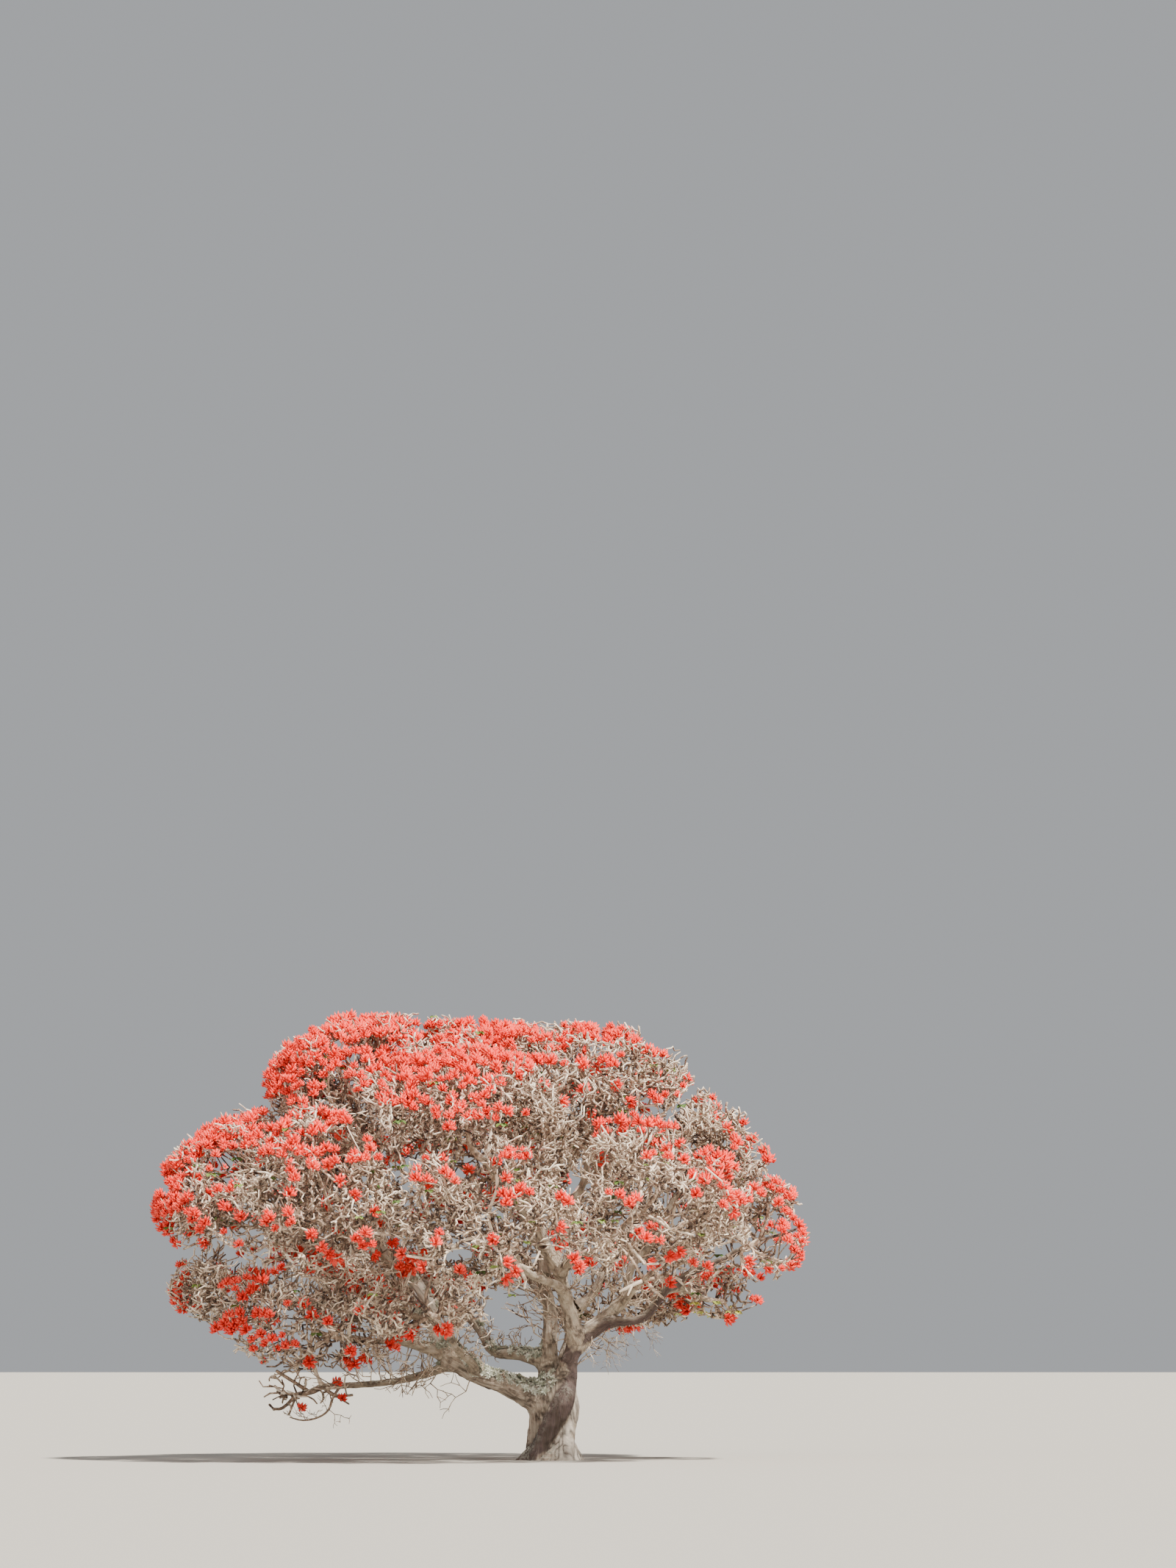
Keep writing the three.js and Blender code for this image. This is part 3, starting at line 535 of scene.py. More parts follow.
def curve_through(points, count):
    """Catmull-Rom curves through the knots of each path, count rings a stretch: half of
    2 p1 + (p2 - p0) t + (2 p0 - 5 p1 + 4 p2 - p3) t^2 + (3 p1 - p0 - 3 p2 + p3) t^3. Paths are (N, K, d)."""
    first = 2 * points[:, :1] - points[:, 1:2]
    last = 2 * points[:, -1:] - points[:, -2:-1]
    padded = np.concatenate([first, points, last], axis=1)
    p0, p1, p2, p3 = (padded[:, k : k + points.shape[1] - 1, None] for k in range(4))
    t = (np.arange(count) / count)[None, None, :, None]
    curve = p1 + 0.5 * t * (p2 - p0 + t * (2 * p0 - 5 * p1 + 4 * p2 - p3 + t * (3 * (p1 - p2) + p3 - p0)))
    curve = curve.reshape(len(points), -1, points.shape[2])
    return np.concatenate([curve, points[:, -1:]], axis=1)


def within(span, share):
    """The value at a share of a span."""
    return span[0] + (span[1] - span[0]) * share


def smoothstep(x, low, high):
    """3 t^2 - 2 t^3, where t runs from 0 at low to 1 at high."""
    t = np.clip((x - low) / (high - low), 0, 1)
    return t * t * (3 - 2 * t)


def lumpy(points):
    """How far out the crown's outside lies near each point: 1 on its lumps, and 1 - HOLLOW in its hollows."""
    return 1 - HOLLOW * (1 - smoothstep(value_noise(points / LUMP, 21), 0.3, 0.65))


def in_gap(points):
    """Which points lie in front of a limb that shows and, seen from the front, within a gap's width of it."""
    inside = np.zeros(len(points), bool)
    for name in SHOWING:
        path = curve_through(limbs[name]["points"][None], PLACE_STEPS)[0]
        away = points[:, None] - path
        aside = np.hypot(away[..., 0], away[..., 2])
        inside |= ((aside < SHOW_WIDTH) & (away[..., 1] < 0)).any(-1)
    return inside


def fill_targets(mass):
    """Points of an even sequence through the mass's box, kept where they are in its own space and clear of
    limbs, and by a chance that falls towards the crown's open middle."""
    low = mass["size"] * (-MOST_REACH, -MOST_REACH, -MOST_REACH * DOWN_SHARE)
    high = mass["size"] * MOST_REACH
    item = np.arange(1, int(FINE_PER_VOLUME * np.prod(high - low)) + 1)
    shares = np.stack(even_shares(mass, item, 20), axis=-1)
    points = mass["middle"] + low + (high - low) * shares
    outward = unit(mass["middle"] - HEART)
    facing = ((points - mass["middle"]) / mass["size"]) @ outward
    depth = depth_in_crown(depths_in(points), FINE_BLEND)
    wanted = smoothstep(depth, *FINE_CROWN)
    wanted *= within((INNER_SHARE, 1), smoothstep(facing, *FACING_EDGE))
    wanted *= smoothstep(value_noise(points / CLUMP, 4), *CLUMP_EDGE)
    wanted *= np.where(in_gap(points), SHOW_SHARE, SPARSE.get(mass["name"], 1))
    keep = in_space(mass, points, FINE_RADIUS[1] * TWIG_STOUT, FINE_BLEND)
    keep &= chance(mass["seed"], item, 24) < wanted
    keep &= depth < lumpy(points)
    return points[keep][clear_of_limbs(points[keep], FINE_RADIUS[1] * TWIG_STOUT)]


def crowding(mass, target):
    """How thick tufts stand at a point: noise in patches, more on top of a mass, more and more with height at
    the left but fewer at the right, fewer low down, and more at both rims."""
    crowd = value_noise(target[None] / PATCH, 3)[0] + 0.2 * unit(target - mass["middle"])[2]
    crowd += smoothstep(target[2], *HIGH_BLOOM) * (0.5 * smoothstep(target[0], *LEFT_BLOOM) - 0.13)
    crowd -= 0.02 * (1 - smoothstep(target[2], *LOW_BLOOM))
    return crowd + 0.12 * smoothstep(target[0], *LEFT_RIM) + 0.02 * smoothstep(target[0], *RIGHT_RIM)


def grow_fine(mass, twigs, item):
    """Finer twigs from all along the coarse ones, and then flowering spurs that crowd in patches."""
    targets = fill_targets(mass)
    area = 4 * np.pi * np.prod(mass["size"] * (1, 1, (1 + DOWN_SHARE) / 2)) ** (2 / 3)
    spurs = round(BLOOM_PER_AREA * area * mass["bloom"])
    places = Places(5 * (len(targets) + spurs) + 60 * len(twigs))
    for twig in twigs:
        twig["radii"] = twig["radii"] * COARSE_STOUT[0] + COARSE_STOUT[1]
        both = curve_through(np.column_stack([twig["points"], twig["radii"]])[None], PLACE_STEPS)[0]
        places.add(both[1:, :3], both[1:, 3], twig["along"], twig["length"])
        if twig["tuft"]:
            places.count -= 1
    for target in targets:
        item += 1
        place = places.best(target)
        nominal = within(FINE_RADIUS, chance(mass["seed"], item, 14))
        twig = grow_twig(mass, places, place, target, item, nominal, 0, FINE)
        if twig:
            twigs.append(twig)
            places.add(twig["points"][1:], twig["radii"][1:], twig["along"], twig["length"])
    wood = places.count
    tufts = [twig["target"] for twig in twigs if twig["tuft"]]
    for item in range(item + 1, item + 1 + spurs):
        target = shell_target(mass, [chance(mass["seed"], item, draw) for draw in (26, 27, 28)], FINE_BLEND)
        if not in_space(mass, target[None], TWIG_TIP_RADIUS, FINE_BLEND)[0] or is_hidden(mass, target):
            continue
        target = mass["middle"] + (target - mass["middle"]) * lumpy(target[None])[0]
        if crowding(mass, target) < 0.92 - 0.37 * mass["bloom"]:
            continue
        if tufts and np.min(np.linalg.norm(np.array(tufts) - target, axis=-1)) < TUFT_APART:
            continue
        size = within(SPUR_TUFT, chance(mass["seed"], item, 13))
        base = target - (0, 0, 1.1 * TUFT_LENGTH * size)
        places.count = wood
        twig = grow_twig(mass, places, places.best(base), target, item, SPUR_RADIUS, size, SPUR)
        if twig:
            twigs.append(twig)
            tufts.append(target)
    return twigs


for mass in masses:
    mass["twigs"] = grow_fine(mass, *grow_coarse(mass))

# Trunk, stems and boughs
# Heavy limbs in grey-brown bark, cracked along their length, with low knobs, swollen crotches where limbs
# join, and a ridged root flare cut flat at the ground. Two closed skins, one for trunk and stems and one for
# the boughs, each pulled onto one smooth surface round all the limbs so that they meet without a seam.
TRUNK_SHOULDER = 1.0
FLARE = 0.165
FLARE_HEIGHT = 0.27
BUTTRESSES = 5
BUTTRESS_DEPTH = 0.3
FLUTE_DEPTH = 0.02
DOME_CLOSING = 0.8
STEM_VOXEL = 0.0152
BOUGH_VOXEL = 0.0178
SKIN_SIDES = 16
SKIN_RINGS = 4
TRUNK_RINGS, TRUNK_SIDES = 26, 72
FILLET = 0.045  # how widely two limbs blend where they join
PULL_ROUNDS = 4
ROOT_FLARE = 0.3  # how much a limb swells where it leaves its parent
ROOT_FLARE_LENGTH = 0.42
BOUGH_START = 0.45  # a bough's skin starts at this share of its parent's radius
SHOULDER_SWELL = 0.02  # the bark spreads the swell below the fork over more of the trunk than the solid does
SHOULDER_FROM = 0.7
LOBE_DEPTH = 0.12  # the trunk is four stems grown together, with folds between them that turn as they rise
LOBE_TURN = 1.9
LOBE_AT = -1.24
SHADED_LOBE = LOBE_AT - 0.5 * math.pi  # the one in front gets painted shade in its bark's colour, as the right stem above it does
STUB_LENGTH = 0.3
STUB_INSET = 0.004
FISSURE_DEPTH = 0.011
FISSURE_WIDTH = 0.06
FISSURE_STRETCH = 0.14  # a crack is this much shorter across than along
KNOB_HEIGHT = 0.016
KNOB_SPACING = 0.11
KNOB_FROM = 0.62  # the level of the noise from which knobs rise
LUMP_HEIGHT = 0.012
LUMP_SPACING = 0.06
FULL_GIRTH = 0.16  # thinner limbs than this have less relief
CROTCH = 0.06  # cracks fade out this far from where two limbs meet
GROUND_FADE = 0.05  # and all relief this far above the ground


def ring_quads(starts, rings, sides):
    """The four-sided faces between the rings of tubes whose corners begin at the starts."""
    here = np.reshape(starts, (-1, 1, 1)) + (np.arange(rings - 1) * sides)[:, None]
    turned = here + (np.arange(sides) + 1) % sides
    here = here + np.arange(sides)
    return np.stack([here, turned, turned + sides, here + sides], axis=-1).reshape(-1, 4)


def tube_grid(paths, radii, sides, tip_length=0.0):
    """Rings round many paths at once: each ring is centre + r (cos a side + sin a up), and the sides turn
    as little as they can from ring to ring. Gives corners, and faces as quads, tips and feet."""
    count, rings = paths.shape[:2]
    along = tangents(paths)
    side = sides_of(along[:, 0])[0]
    angle = np.arange(sides) * 2 * np.pi / sides
    corners = np.empty((count, rings, sides, 3))
    for k in range(rings):
        side = unit(side - (side * along[:, k]).sum(-1, keepdims=True) * along[:, k])
        up = np.cross(along[:, k], side)
        ring = np.cos(angle)[:, None] * side[:, None] + np.sin(angle)[:, None] * up[:, None]
        corners[:, k] = paths[:, k, None] + radii[:, k, None, None] * ring
    tips = paths[:, -1] + along[:, -1] * tip_length
    start = np.arange(count)[:, None] * rings * sides
    last = start + (rings - 1) * sides
    tip = count * rings * sides + np.arange(count)[:, None] + 0 * np.arange(sides)
    fans = np.stack([last + np.arange(sides), last + (np.arange(sides) + 1) % sides, tip], axis=-1)
    faces = [ring_quads(start, rings, sides), fans.reshape(-1, 3), start + np.arange(sides)[::-1]]
    return np.concatenate([corners.reshape(-1, 3), tips]), faces


def set_corners(mesh, corners):
    """Moves a mesh's corners."""
    mesh.vertices.foreach_set("co", corners.astype(np.float32).ravel())


def store(mesh, name, values):
    """Keeps a number or a vector for each corner of a mesh, for its material to read."""
    kind, field = ("FLOAT", "value") if values.ndim == 1 else ("FLOAT_VECTOR", "vector")
    mesh.attributes.new(name, kind, "POINT").data.foreach_set(field, values.astype(np.float32).ravel())


def mesh_piece(name, parts, tones=None, material=None):
    """One smooth mesh object from (corners, faces) parts. tones holds one number a corner for each part."""
    corners, loops, sizes, start = [], [], [], 0
    for part_corners, part_faces in parts:
        for faces in part_faces:
            loops.append((faces + start).ravel())
            sizes.append(np.full(len(faces), faces.shape[1]))
        corners.append(part_corners)
        start += len(part_corners)
    corners, loops, sizes = np.concatenate(corners), np.concatenate(loops), np.concatenate(sizes)
    mesh = bpy.data.meshes.new(name)
    mesh.vertices.add(len(corners))
    set_corners(mesh, corners)
    mesh.loops.add(len(loops))
    mesh.loops.foreach_set("vertex_index", loops.astype(np.int32))
    mesh.polygons.add(len(sizes))
    mesh.polygons.foreach_set("loop_start", (np.cumsum(sizes) - sizes).astype(np.int32))
    mesh.polygons.foreach_set("use_smooth", np.ones(len(sizes), bool))
    mesh.update(calc_edges=True)
    if tones:
        store(mesh, "tone", np.concatenate(tones))
    if material:
        mesh.materials.append(material)
    return put(name, mesh)


def trunk_radius(z, angle):
    """Waist + lobes |cos 2a|^0.7 + flare exp(-z / h) (1 + buttresses) + flutes, closed towards the top."""
    wave = -np.cos(BUTTRESSES * angle + 0.9) - 0.35 * np.cos(2 * angle - 2.6)
    waist = TRUNK_RADIUS + SHOULDER_SWELL * smoothstep(z, 0.4 * TRUNK_SHOULDER, TRUNK_SHOULDER)
    waist = waist + LOBE_DEPTH * (np.abs(np.cos(2 * (angle - LOBE_AT - LOBE_TURN * z))) ** 0.7 - 0.75)
    spread = FLARE * np.exp(-z / FLARE_HEIGHT)
    closing = np.clip((z - SHOULDER_FROM) / (TRUNK_HEIGHT - SHOULDER_FROM), 0, 1)
    radius = waist + spread * (1 + BUTTRESS_DEPTH * wave) + FLUTE_DEPTH * wave
    return radius * np.sqrt(1 - DOME_CLOSING * closing**3)


def trunk_skin():
    """The trunk as rings from the ground to the top of its dome."""
    z = np.linspace(0, TRUNK_HEIGHT, TRUNK_RINGS)
    side = np.arange(TRUNK_SIDES)[None]
    angle = side[0] * 2 * np.pi / TRUNK_SIDES
    ring = np.stack([np.cos(angle), np.sin(angle), 0 * angle], axis=-1)
    corners = trunk_middle(z)[:, None] + trunk_radius(z[:, None], angle)[..., None] * ring
    quads = ring_quads(0, TRUNK_RINGS, TRUNK_SIDES)
    return corners.reshape(-1, 3), [quads, side[:, ::-1], side + (TRUNK_RINGS - 1) * TRUNK_SIDES]


def run_along(path):
    """The length along a path up to each of its knots."""
    return np.concatenate([[0], np.cumsum(np.linalg.norm(np.diff(path, axis=0), axis=-1))])


def skin_path(limb, mass=None):
    """A limb's smooth path and radii. A bough's runs on along its mass's stem and thins into it."""
    knots = np.column_stack([limb["points"], limb["radii"]])
    if mass:
        stem = mass["twigs"][0]
        thinning = stem["radii"][2:4] * (1.0, 0.7)
        knots = np.vstack([knots, np.column_stack([stem["points"][2:4], thinning])])
    both = curve_through(knots[None], SKIN_RINGS)[0]
    path, radii = both[:, :3], both[:, 3]
    run = run_along(path)
    inside = limb["parent"]["radii"].max()
    radii = radii * (1 + ROOT_FLARE * np.exp(-((np.maximum(run - inside, 0) / ROOT_FLARE_LENGTH) ** 2)))
    if mass:
        first = int((run < BOUGH_START * inside).sum())
        path, radii = path[first:], radii[first:]
    return path, radii


def shorten(path, radii, length):
    """The first stretch of a path, up to a length."""
    count = max(int((run_along(path) < length).sum()), 2)
    return path[:count], radii[:count] - STUB_INSET


def to_stretch(points, start, step, radii):
    """For each point and one tapering stretch from start to start + step: the share of the way along, the
    vector from the axis, the radius there and the distance to the surface."""
    share = np.clip((points - start) @ step / (step @ step), 0, 1)
    away = points - start - share[:, None] * step
    radius = radii[0] + (radii[1] - radii[0]) * share
    return share, away, radius, np.linalg.norm(away, axis=-1) - radius


def unit_or_zero(away):
    """away over its length, or 0 where it has none."""
    return away / np.maximum(np.linalg.norm(away, axis=-1, keepdims=True), 1e-6)


def pull_onto(points, bodies):
    """Moves points onto f = 0, where f = -b log(sum exp(-d / b)) over the distances d to the trunk and to the
    bodies nearby. Each d points away from a body's axis, and f where they do, in the shares exp(-d / b).
    No step is over 1.5 b, and points deeper inside than 2.2 b stay."""
    for _ in range(PULL_ROUNDS):
        away = points - trunk_middle(np.clip(points[:, 2], 0, TRUNK_HEIGHT))
        above = np.maximum(points[:, 2] - TRUNK_HEIGHT, 0)
        away[:, 2] = above
        edge = trunk_radius(np.clip(points[:, 2], 0, TRUNK_HEIGHT), np.arctan2(away[:, 1], away[:, 0]))
        beside = np.linalg.norm(away[:, :2], axis=-1) - edge
        share = np.exp(-np.where(above > 0, np.hypot(np.maximum(beside, 0), above), beside) / FILLET)
        total = share + 1e-30
        away_sum = share[:, None] * unit_or_zero(away)
        for path, radii in bodies:
            margin = radii.max() + 6 * FILLET
            near = np.flatnonzero(((points > path.min(0) - margin) & (points < path.max(0) + margin)).all(-1))
            best, best_away = np.full(len(near), np.inf), np.zeros((len(near), 3))
            for k, step in enumerate(np.diff(path, axis=0)):
                _, away, _, distance = to_stretch(points[near], path[k], step, radii[k : k + 2])
                closer = distance < best
                best[closer] = distance[closer]
                best_away[closer] = unit_or_zero(away[closer])
            share = np.exp(-best / FILLET)
            total[near] += share
            away_sum[near] += share[:, None] * best_away
        depth = -FILLET * np.log(total)
        away = away_sum / total[:, None]
        away /= np.maximum((away**2).sum(-1, keepdims=True), 0.25)
        move = np.clip(depth, -1.5 * FILLET, 1.5 * FILLET) * smoothstep(depth, -2.2 * FILLET, -1.2 * FILLET)
        points = points - away * move[:, None]
        points[:, 2] = np.maximum(points[:, 2], 0)
    return points


def joined_skin(name, parts, voxel):
    """The parts as one closed skin of even small faces, a little softened."""
    piece = mesh_piece(name, parts)
    remesh = piece.modifiers.new("join", "REMESH")
    remesh.mode = "VOXEL"
    remesh.voxel_size = voxel
    smoothing = piece.modifiers.new("soften", "SMOOTH")
    smoothing.factor = 0.5
    smoothing.iterations = 2
    joined = bpy.data.meshes.new_from_object(piece.evaluated_get(bpy.context.evaluated_depsgraph_get()))
    piece.modifiers.clear()
    piece.data = joined
    joined.name = name
    joined.polygons.foreach_set("use_smooth", np.ones(len(joined.polygons), bool))
    return piece


def corners_of(mesh, what):
    """The corners' places (co) or normals of a mesh."""
    values = np.empty(len(mesh.vertices) * 3, np.float32)
    mesh.vertices.foreach_get(what, values)
    return values.reshape(-1, 3).astype(float)


def nearest_limb(points):
    """For each point: the vector from the nearest limb's axis, the length along it, its radius and number,
    how much farther the next limb is, and that limb's number."""
    best, second = np.full(len(points), np.inf), np.full(len(points), np.inf)
    across, along, girth = np.zeros((len(points), 3)), np.zeros(len(points)), np.zeros(len(points))
    which, other = np.zeros(len(points), int), np.zeros(len(points), int)
    for number, limb in enumerate(limbs.values()):
        run, nearest, before = 0.0, np.full(len(points), np.inf), which.copy()
        knots, radii = limb["points"], limb["radii"]
        for k, step in enumerate(np.diff(knots, axis=0)):
            share, away, radius, distance = to_stretch(points, knots[k], step, radii[k : k + 2])
            closer = distance < np.minimum(best, nearest)
            across[closer] = away[closer]
            along[closer] = (run + share * np.linalg.norm(step))[closer] + number
            girth[closer] = radius[closer]
            which[closer] = number
            nearest = np.minimum(nearest, distance)
            run += np.linalg.norm(step)
        other = np.where(nearest < best, before, np.where(nearest < second, number, other))
        second = np.minimum(second, np.maximum(best, nearest))
        best = np.minimum(best, nearest)
    return across, along, girth, which, second - best, other


def bark_relief(corners, across, along, girth, apart):
    """The height of the relief: cracks -(c^3 + fine c^3 / 2), with c the ridges of a noise that is stretched
    along the limb, knobs where another noise is high, and lumps. Also gives the grain and the cracks."""
    grain = across / FISSURE_WIDTH + np.outer(along / FISSURE_WIDTH * FISSURE_STRETCH, (1.0, 0.7, 0.4))
    crack = 1 - np.abs(2 * value_noise(grain, 7) - 1)
    fine_crack = 1 - np.abs(2 * value_noise(grain * 2.1 + 9.3, 8) - 1)
    crack, fine_crack = (cracks * smoothstep(apart, 0, CROTCH) for cracks in (crack, fine_crack))
    knob = np.clip(value_noise(corners / KNOB_SPACING, 9) - KNOB_FROM, 0, 1) / (1 - KNOB_FROM)
    weight = np.clip(girth / FULL_GIRTH, 0.2, 1.0)
    relief = -FISSURE_DEPTH * weight * (crack**3 + 0.5 * fine_crack**3)
    relief += KNOB_HEIGHT * knob * (0.4 + 0.6 * weight)
    relief += LUMP_HEIGHT * (value_noise(corners / LUMP_SPACING, 12) - 0.5) * (0.5 + 0.5 * weight)
    return relief, grain, crack**3 * weight


def painted_shade_and_light(corners, normals, which, apart, other):
    """How much painted shade and painted light the bark's colour gets, from 0 to 1. Painted shade darkens the
    right stem, the trunk's lobe below it and the right tip's underside; painted light pales the left rise, the
    tops of limbs and the trunk's right side."""
    numbers = {name: number for number, name in enumerate(limbs)}
    on_trunk, on_right = which == 0, which == numbers["right_stem"]
    from_trunk = corners - trunk_middle(corners[:, 2])
    turned = np.arctan2(from_trunk[:, 1], from_trunk[:, 0]) - (SHADED_LOBE + LOBE_TURN * corners[:, 2])
    turned = (turned + np.pi) % (2 * np.pi) - np.pi
    ragged = 0.5 * (value_noise(corners / 0.09, 13) - 0.5)
    lobe = 1 - smoothstep(np.abs(turned) + ragged, 0.6, 0.9)
    below = smoothstep(ragged - normals[:, 2], -0.7, 0.2)
    clear = smoothstep(apart + 0.3 * ragged, 0.0, 0.05)
    # painted shade: the right stem, the trunk's front lobe and the right tip's underside are darkened as if in
    # the crown's shadow
    painted_shade = on_trunk * lobe + on_right + (which == numbers["right_tip"]) * (0.45 + 0.55 * below)
    painted_shade = np.where(on_right & (other == 0), np.maximum(lobe, clear), painted_shade * clear)
    painted_shade = np.where(on_trunk & (other == numbers["right_stem"]), lobe, painted_shade)
    # painted light: the left rise, the left fork's top, the tops of all limbs and the trunk's right side are
    # paled as if sunlit
    topside = np.clip(normals[:, 2] * 1.6 - 0.1, 0, 1)
    painted_light = (which == numbers["left_rise"]) * 0.8 + (which == numbers["left_fork"]) * 0.35 * topside
    painted_light += 0.55 * on_trunk * (1 - lobe) * smoothstep(from_trunk[:, 0], 0.0, 0.2)
    painted_light = painted_light * smoothstep(apart, 0.0, CROTCH) + 0.25 * topside
    return 0.93 * painted_shade, painted_light * smoothstep(value_noise(corners / 0.13, 14), 0.15, 0.6)


def add_bark(mesh):
    """Raises the relief, flat at the ground, and stores what the bark's colours need. Lichen grows on top of
    the limbs, mostly low and at the left."""
    corners, normals = corners_of(mesh, "co"), corners_of(mesh, "normal")
    across, along, girth, which, apart, other = nearest_limb(corners)
    relief, grain, crack = bark_relief(corners, across, along, girth, apart)
    corners += normals * (relief * np.clip(corners[:, 2] / GROUND_FADE, 0, 1))[:, None]
    corners[:, 2] = np.where(corners[:, 2] < 0.01, 0, corners[:, 2])
    set_corners(mesh, corners)
    leftward = np.clip((0.4 - corners[:, 0]) / 0.8, 0, 1) * np.clip((3.2 - corners[:, 2]) / 1.2, 0, 1)
    lichen = np.clip(normals[:, 2] * 1.6 - 0.1, 0, 1) * (0.2 + 0.8 * leftward)
    # painted shade and painted light for the bark's colour
    painted_shade, painted_light = painted_shade_and_light(corners, normals, which, apart, other)
    store(mesh, "painted_shade", painted_shade)
    store(mesh, "painted_light", painted_light)
    store(mesh, "grain", grain)
    store(mesh, "crack", crack * smoothstep(value_noise(corners / 0.17, 11), 0.2, 0.6))
    store(mesh, "lichen", lichen * np.clip(value_noise(corners / 0.07, 5) * 2.2 - 0.55, 0, 1))
    store(mesh, "youth", np.clip((0.14 - girth) / 0.09, 0, 1))
    mesh.update()


class Finish:
    """A material as it is mixed: each step adds one node and gives its output, and the last ones fill the
    shader's own sockets."""

    def __init__(self, name, roughness):
        self.material = bpy.data.materials.new(name)
        self.material.use_nodes = True
        self.shader = self.material.node_tree.nodes["Principled BSDF"]
        self.shader.inputs["Roughness"].default_value = roughness

    def fill(self, socket, value):
        """Joins an output to a socket, or sets a number or a colour on it."""
        if isinstance(value, bpy.types.NodeSocket):
            self.material.node_tree.links.new(value, socket)
        else:
            socket.default_value = (*value, 1) if isinstance(value, tuple) else value

    def add(self, kind, **inputs):
        node = self.material.node_tree.nodes.new("ShaderNode" + kind)
        for name, value in inputs.items():
            self.fill(node.inputs[name], value)
        return node

    def stored(self, name, output="Fac"):
        """One of the mesh's own attributes."""
        node = self.add("Attribute")
        node.attribute_name = name
        return node.outputs[output]

    def noise(self, scale, detail=2.0, roughness=0.5, place=None):
        """Noise from 0 to 1, on the piece's own coordinates unless a place is given."""
        place = place or self.add("TexCoord").outputs["Object"]
        node = self.add("TexNoise", Vector=place, Scale=scale, Detail=detail, Roughness=roughness)
        return node.outputs["Fac"]

    def ramp(self, fac, *stops):
        """Colours between the (position, colour) stops."""
        node = self.add("ValToRGB", Fac=fac)
        elements = node.color_ramp.elements
        while len(elements) < len(stops):
            elements.new(0.5)
        for element, (position, colour) in zip(elements, stops):
            element.position = position
            element.color = (*colour, 1)
        return node.outputs["Color"]

    def reckon(self, operation, *values):
        """MULTIPLY: a b. MULTIPLY_ADD: a b + c."""
        node = self.add("Math")
        node.operation = operation
        for socket, value in zip(node.inputs, values):
            self.fill(socket, value)
        return node

    def blend(self, fac, first, second):
        """From the first colour to the second."""
        node = self.add("Mix", Factor=fac)
        node.data_type = "RGBA"
        self.fill(node.inputs[6], first)
        self.fill(node.inputs[7], second)
        return node.outputs[2]

    def done(self, colour, height=None, strength=0.0, distance=0.0):
        """The material, with its colour, and a bump by the height where one is given."""
        self.fill(self.shader.inputs["Base Color"], colour)
        if height:
            bump = self.add("Bump", Height=height, Strength=strength, Distance=distance)
            self.fill(self.shader.inputs["Normal"], bump.outputs["Normal"])
        return self.material


def heavy_bark():
    """Grey-brown bark: streaks along the limb, bleached and stained blotches, painted light and painted shade
    where the mesh's attributes put them, dark in the cracks, with speckled lichen on top."""
    bark = Finish("heavy_bark", 0.9)
    grain = bark.stored("grain", "Vector")
    streaks, fine = bark.noise(1.6, 5.0, place=grain), bark.noise(5.0, 4.0, place=grain)
    blotch, speckle = bark.noise(7.0, 6.0, 0.65), bark.noise(28.0, 4.0)
    old = (0.25, (0.16, 0.12, 0.09)), (0.5, (0.41, 0.325, 0.25)), (0.72, (0.70, 0.60, 0.48))
    young = (0.25, (0.19, 0.14, 0.10)), (0.55, (0.41, 0.33, 0.24)), (0.85, (0.62, 0.53, 0.41))
    wood = bark.blend(bark.stored("youth"), bark.ramp(streaks, *old), bark.ramp(streaks, *young))
    bleached = bark.ramp(blotch, (0.5, (0, 0, 0)), (0.64, (0.75, 0.75, 0.75)))
    wood = bark.blend(bleached, wood, (0.50, 0.43, 0.34))
    stained = bark.ramp(blotch, (0.36, (0.8, 0.8, 0.8)), (0.47, (0, 0, 0)))
    wood = bark.blend(stained, wood, (0.085, 0.058, 0.045))
    # painted light: a pale bark colour where the limbs would be sunlit
    wood = bark.blend(bark.stored("painted_light"), wood, (0.80, 0.72, 0.62))
    # painted shade: a dark purple-brown where the crown's shadow would fall
    painted_shade_colour = bark.ramp(fine, (0.3, (0.035, 0.021, 0.022)), (0.7, (0.115, 0.072, 0.064)))
    wood = bark.blend(bark.stored("painted_shade"), wood, painted_shade_colour)
    wood = bark.blend(bark.stored("crack"), wood, (0.06, 0.042, 0.03))
    speckle = bark.ramp(speckle, (0.42, (0, 0, 0)), (0.55, (1, 1, 1)))
    patch = bark.reckon("MULTIPLY", bark.stored("lichen"), speckle)
    patch.use_clamp = True
    return bark.done(bark.blend(patch.outputs[0], wood, (0.52, 0.53, 0.44)), fine, 0.9, 0.02)


bark_material = heavy_bark()
stem_names = [row[0] for row in STEMS]
bough_names = [row[0] for row in BOUGHS]
stem_paths = [skin_path(limbs[name]) for name in stem_names]
bough_paths = [skin_path(limbs[mass["name"]], mass) for mass in masses]
stub_paths = [
    shorten(path, radii, STUB_LENGTH + limbs[name]["parent"]["radii"].max())
    for name, (path, radii) in zip(bough_names, bough_paths)
]


def tube_of(path, radii):
    """One limb as a closed round tube."""
    return tube_grid(path[None], radii[None], SKIN_SIDES, 0.4 * radii[-1])


def heavy_piece(name, voxel, skins, bodies):
    """The skins joined, pulled onto the bodies' one surface, and given the bark's relief and colours."""
    piece = joined_skin(name, skins, voxel)
    set_corners(piece.data, pull_onto(corners_of(piece.data, "co"), bodies))
    piece.data.update()
    add_bark(piece.data)
    piece.data.materials.clear()
    piece.data.materials.append(bark_material)
    return piece


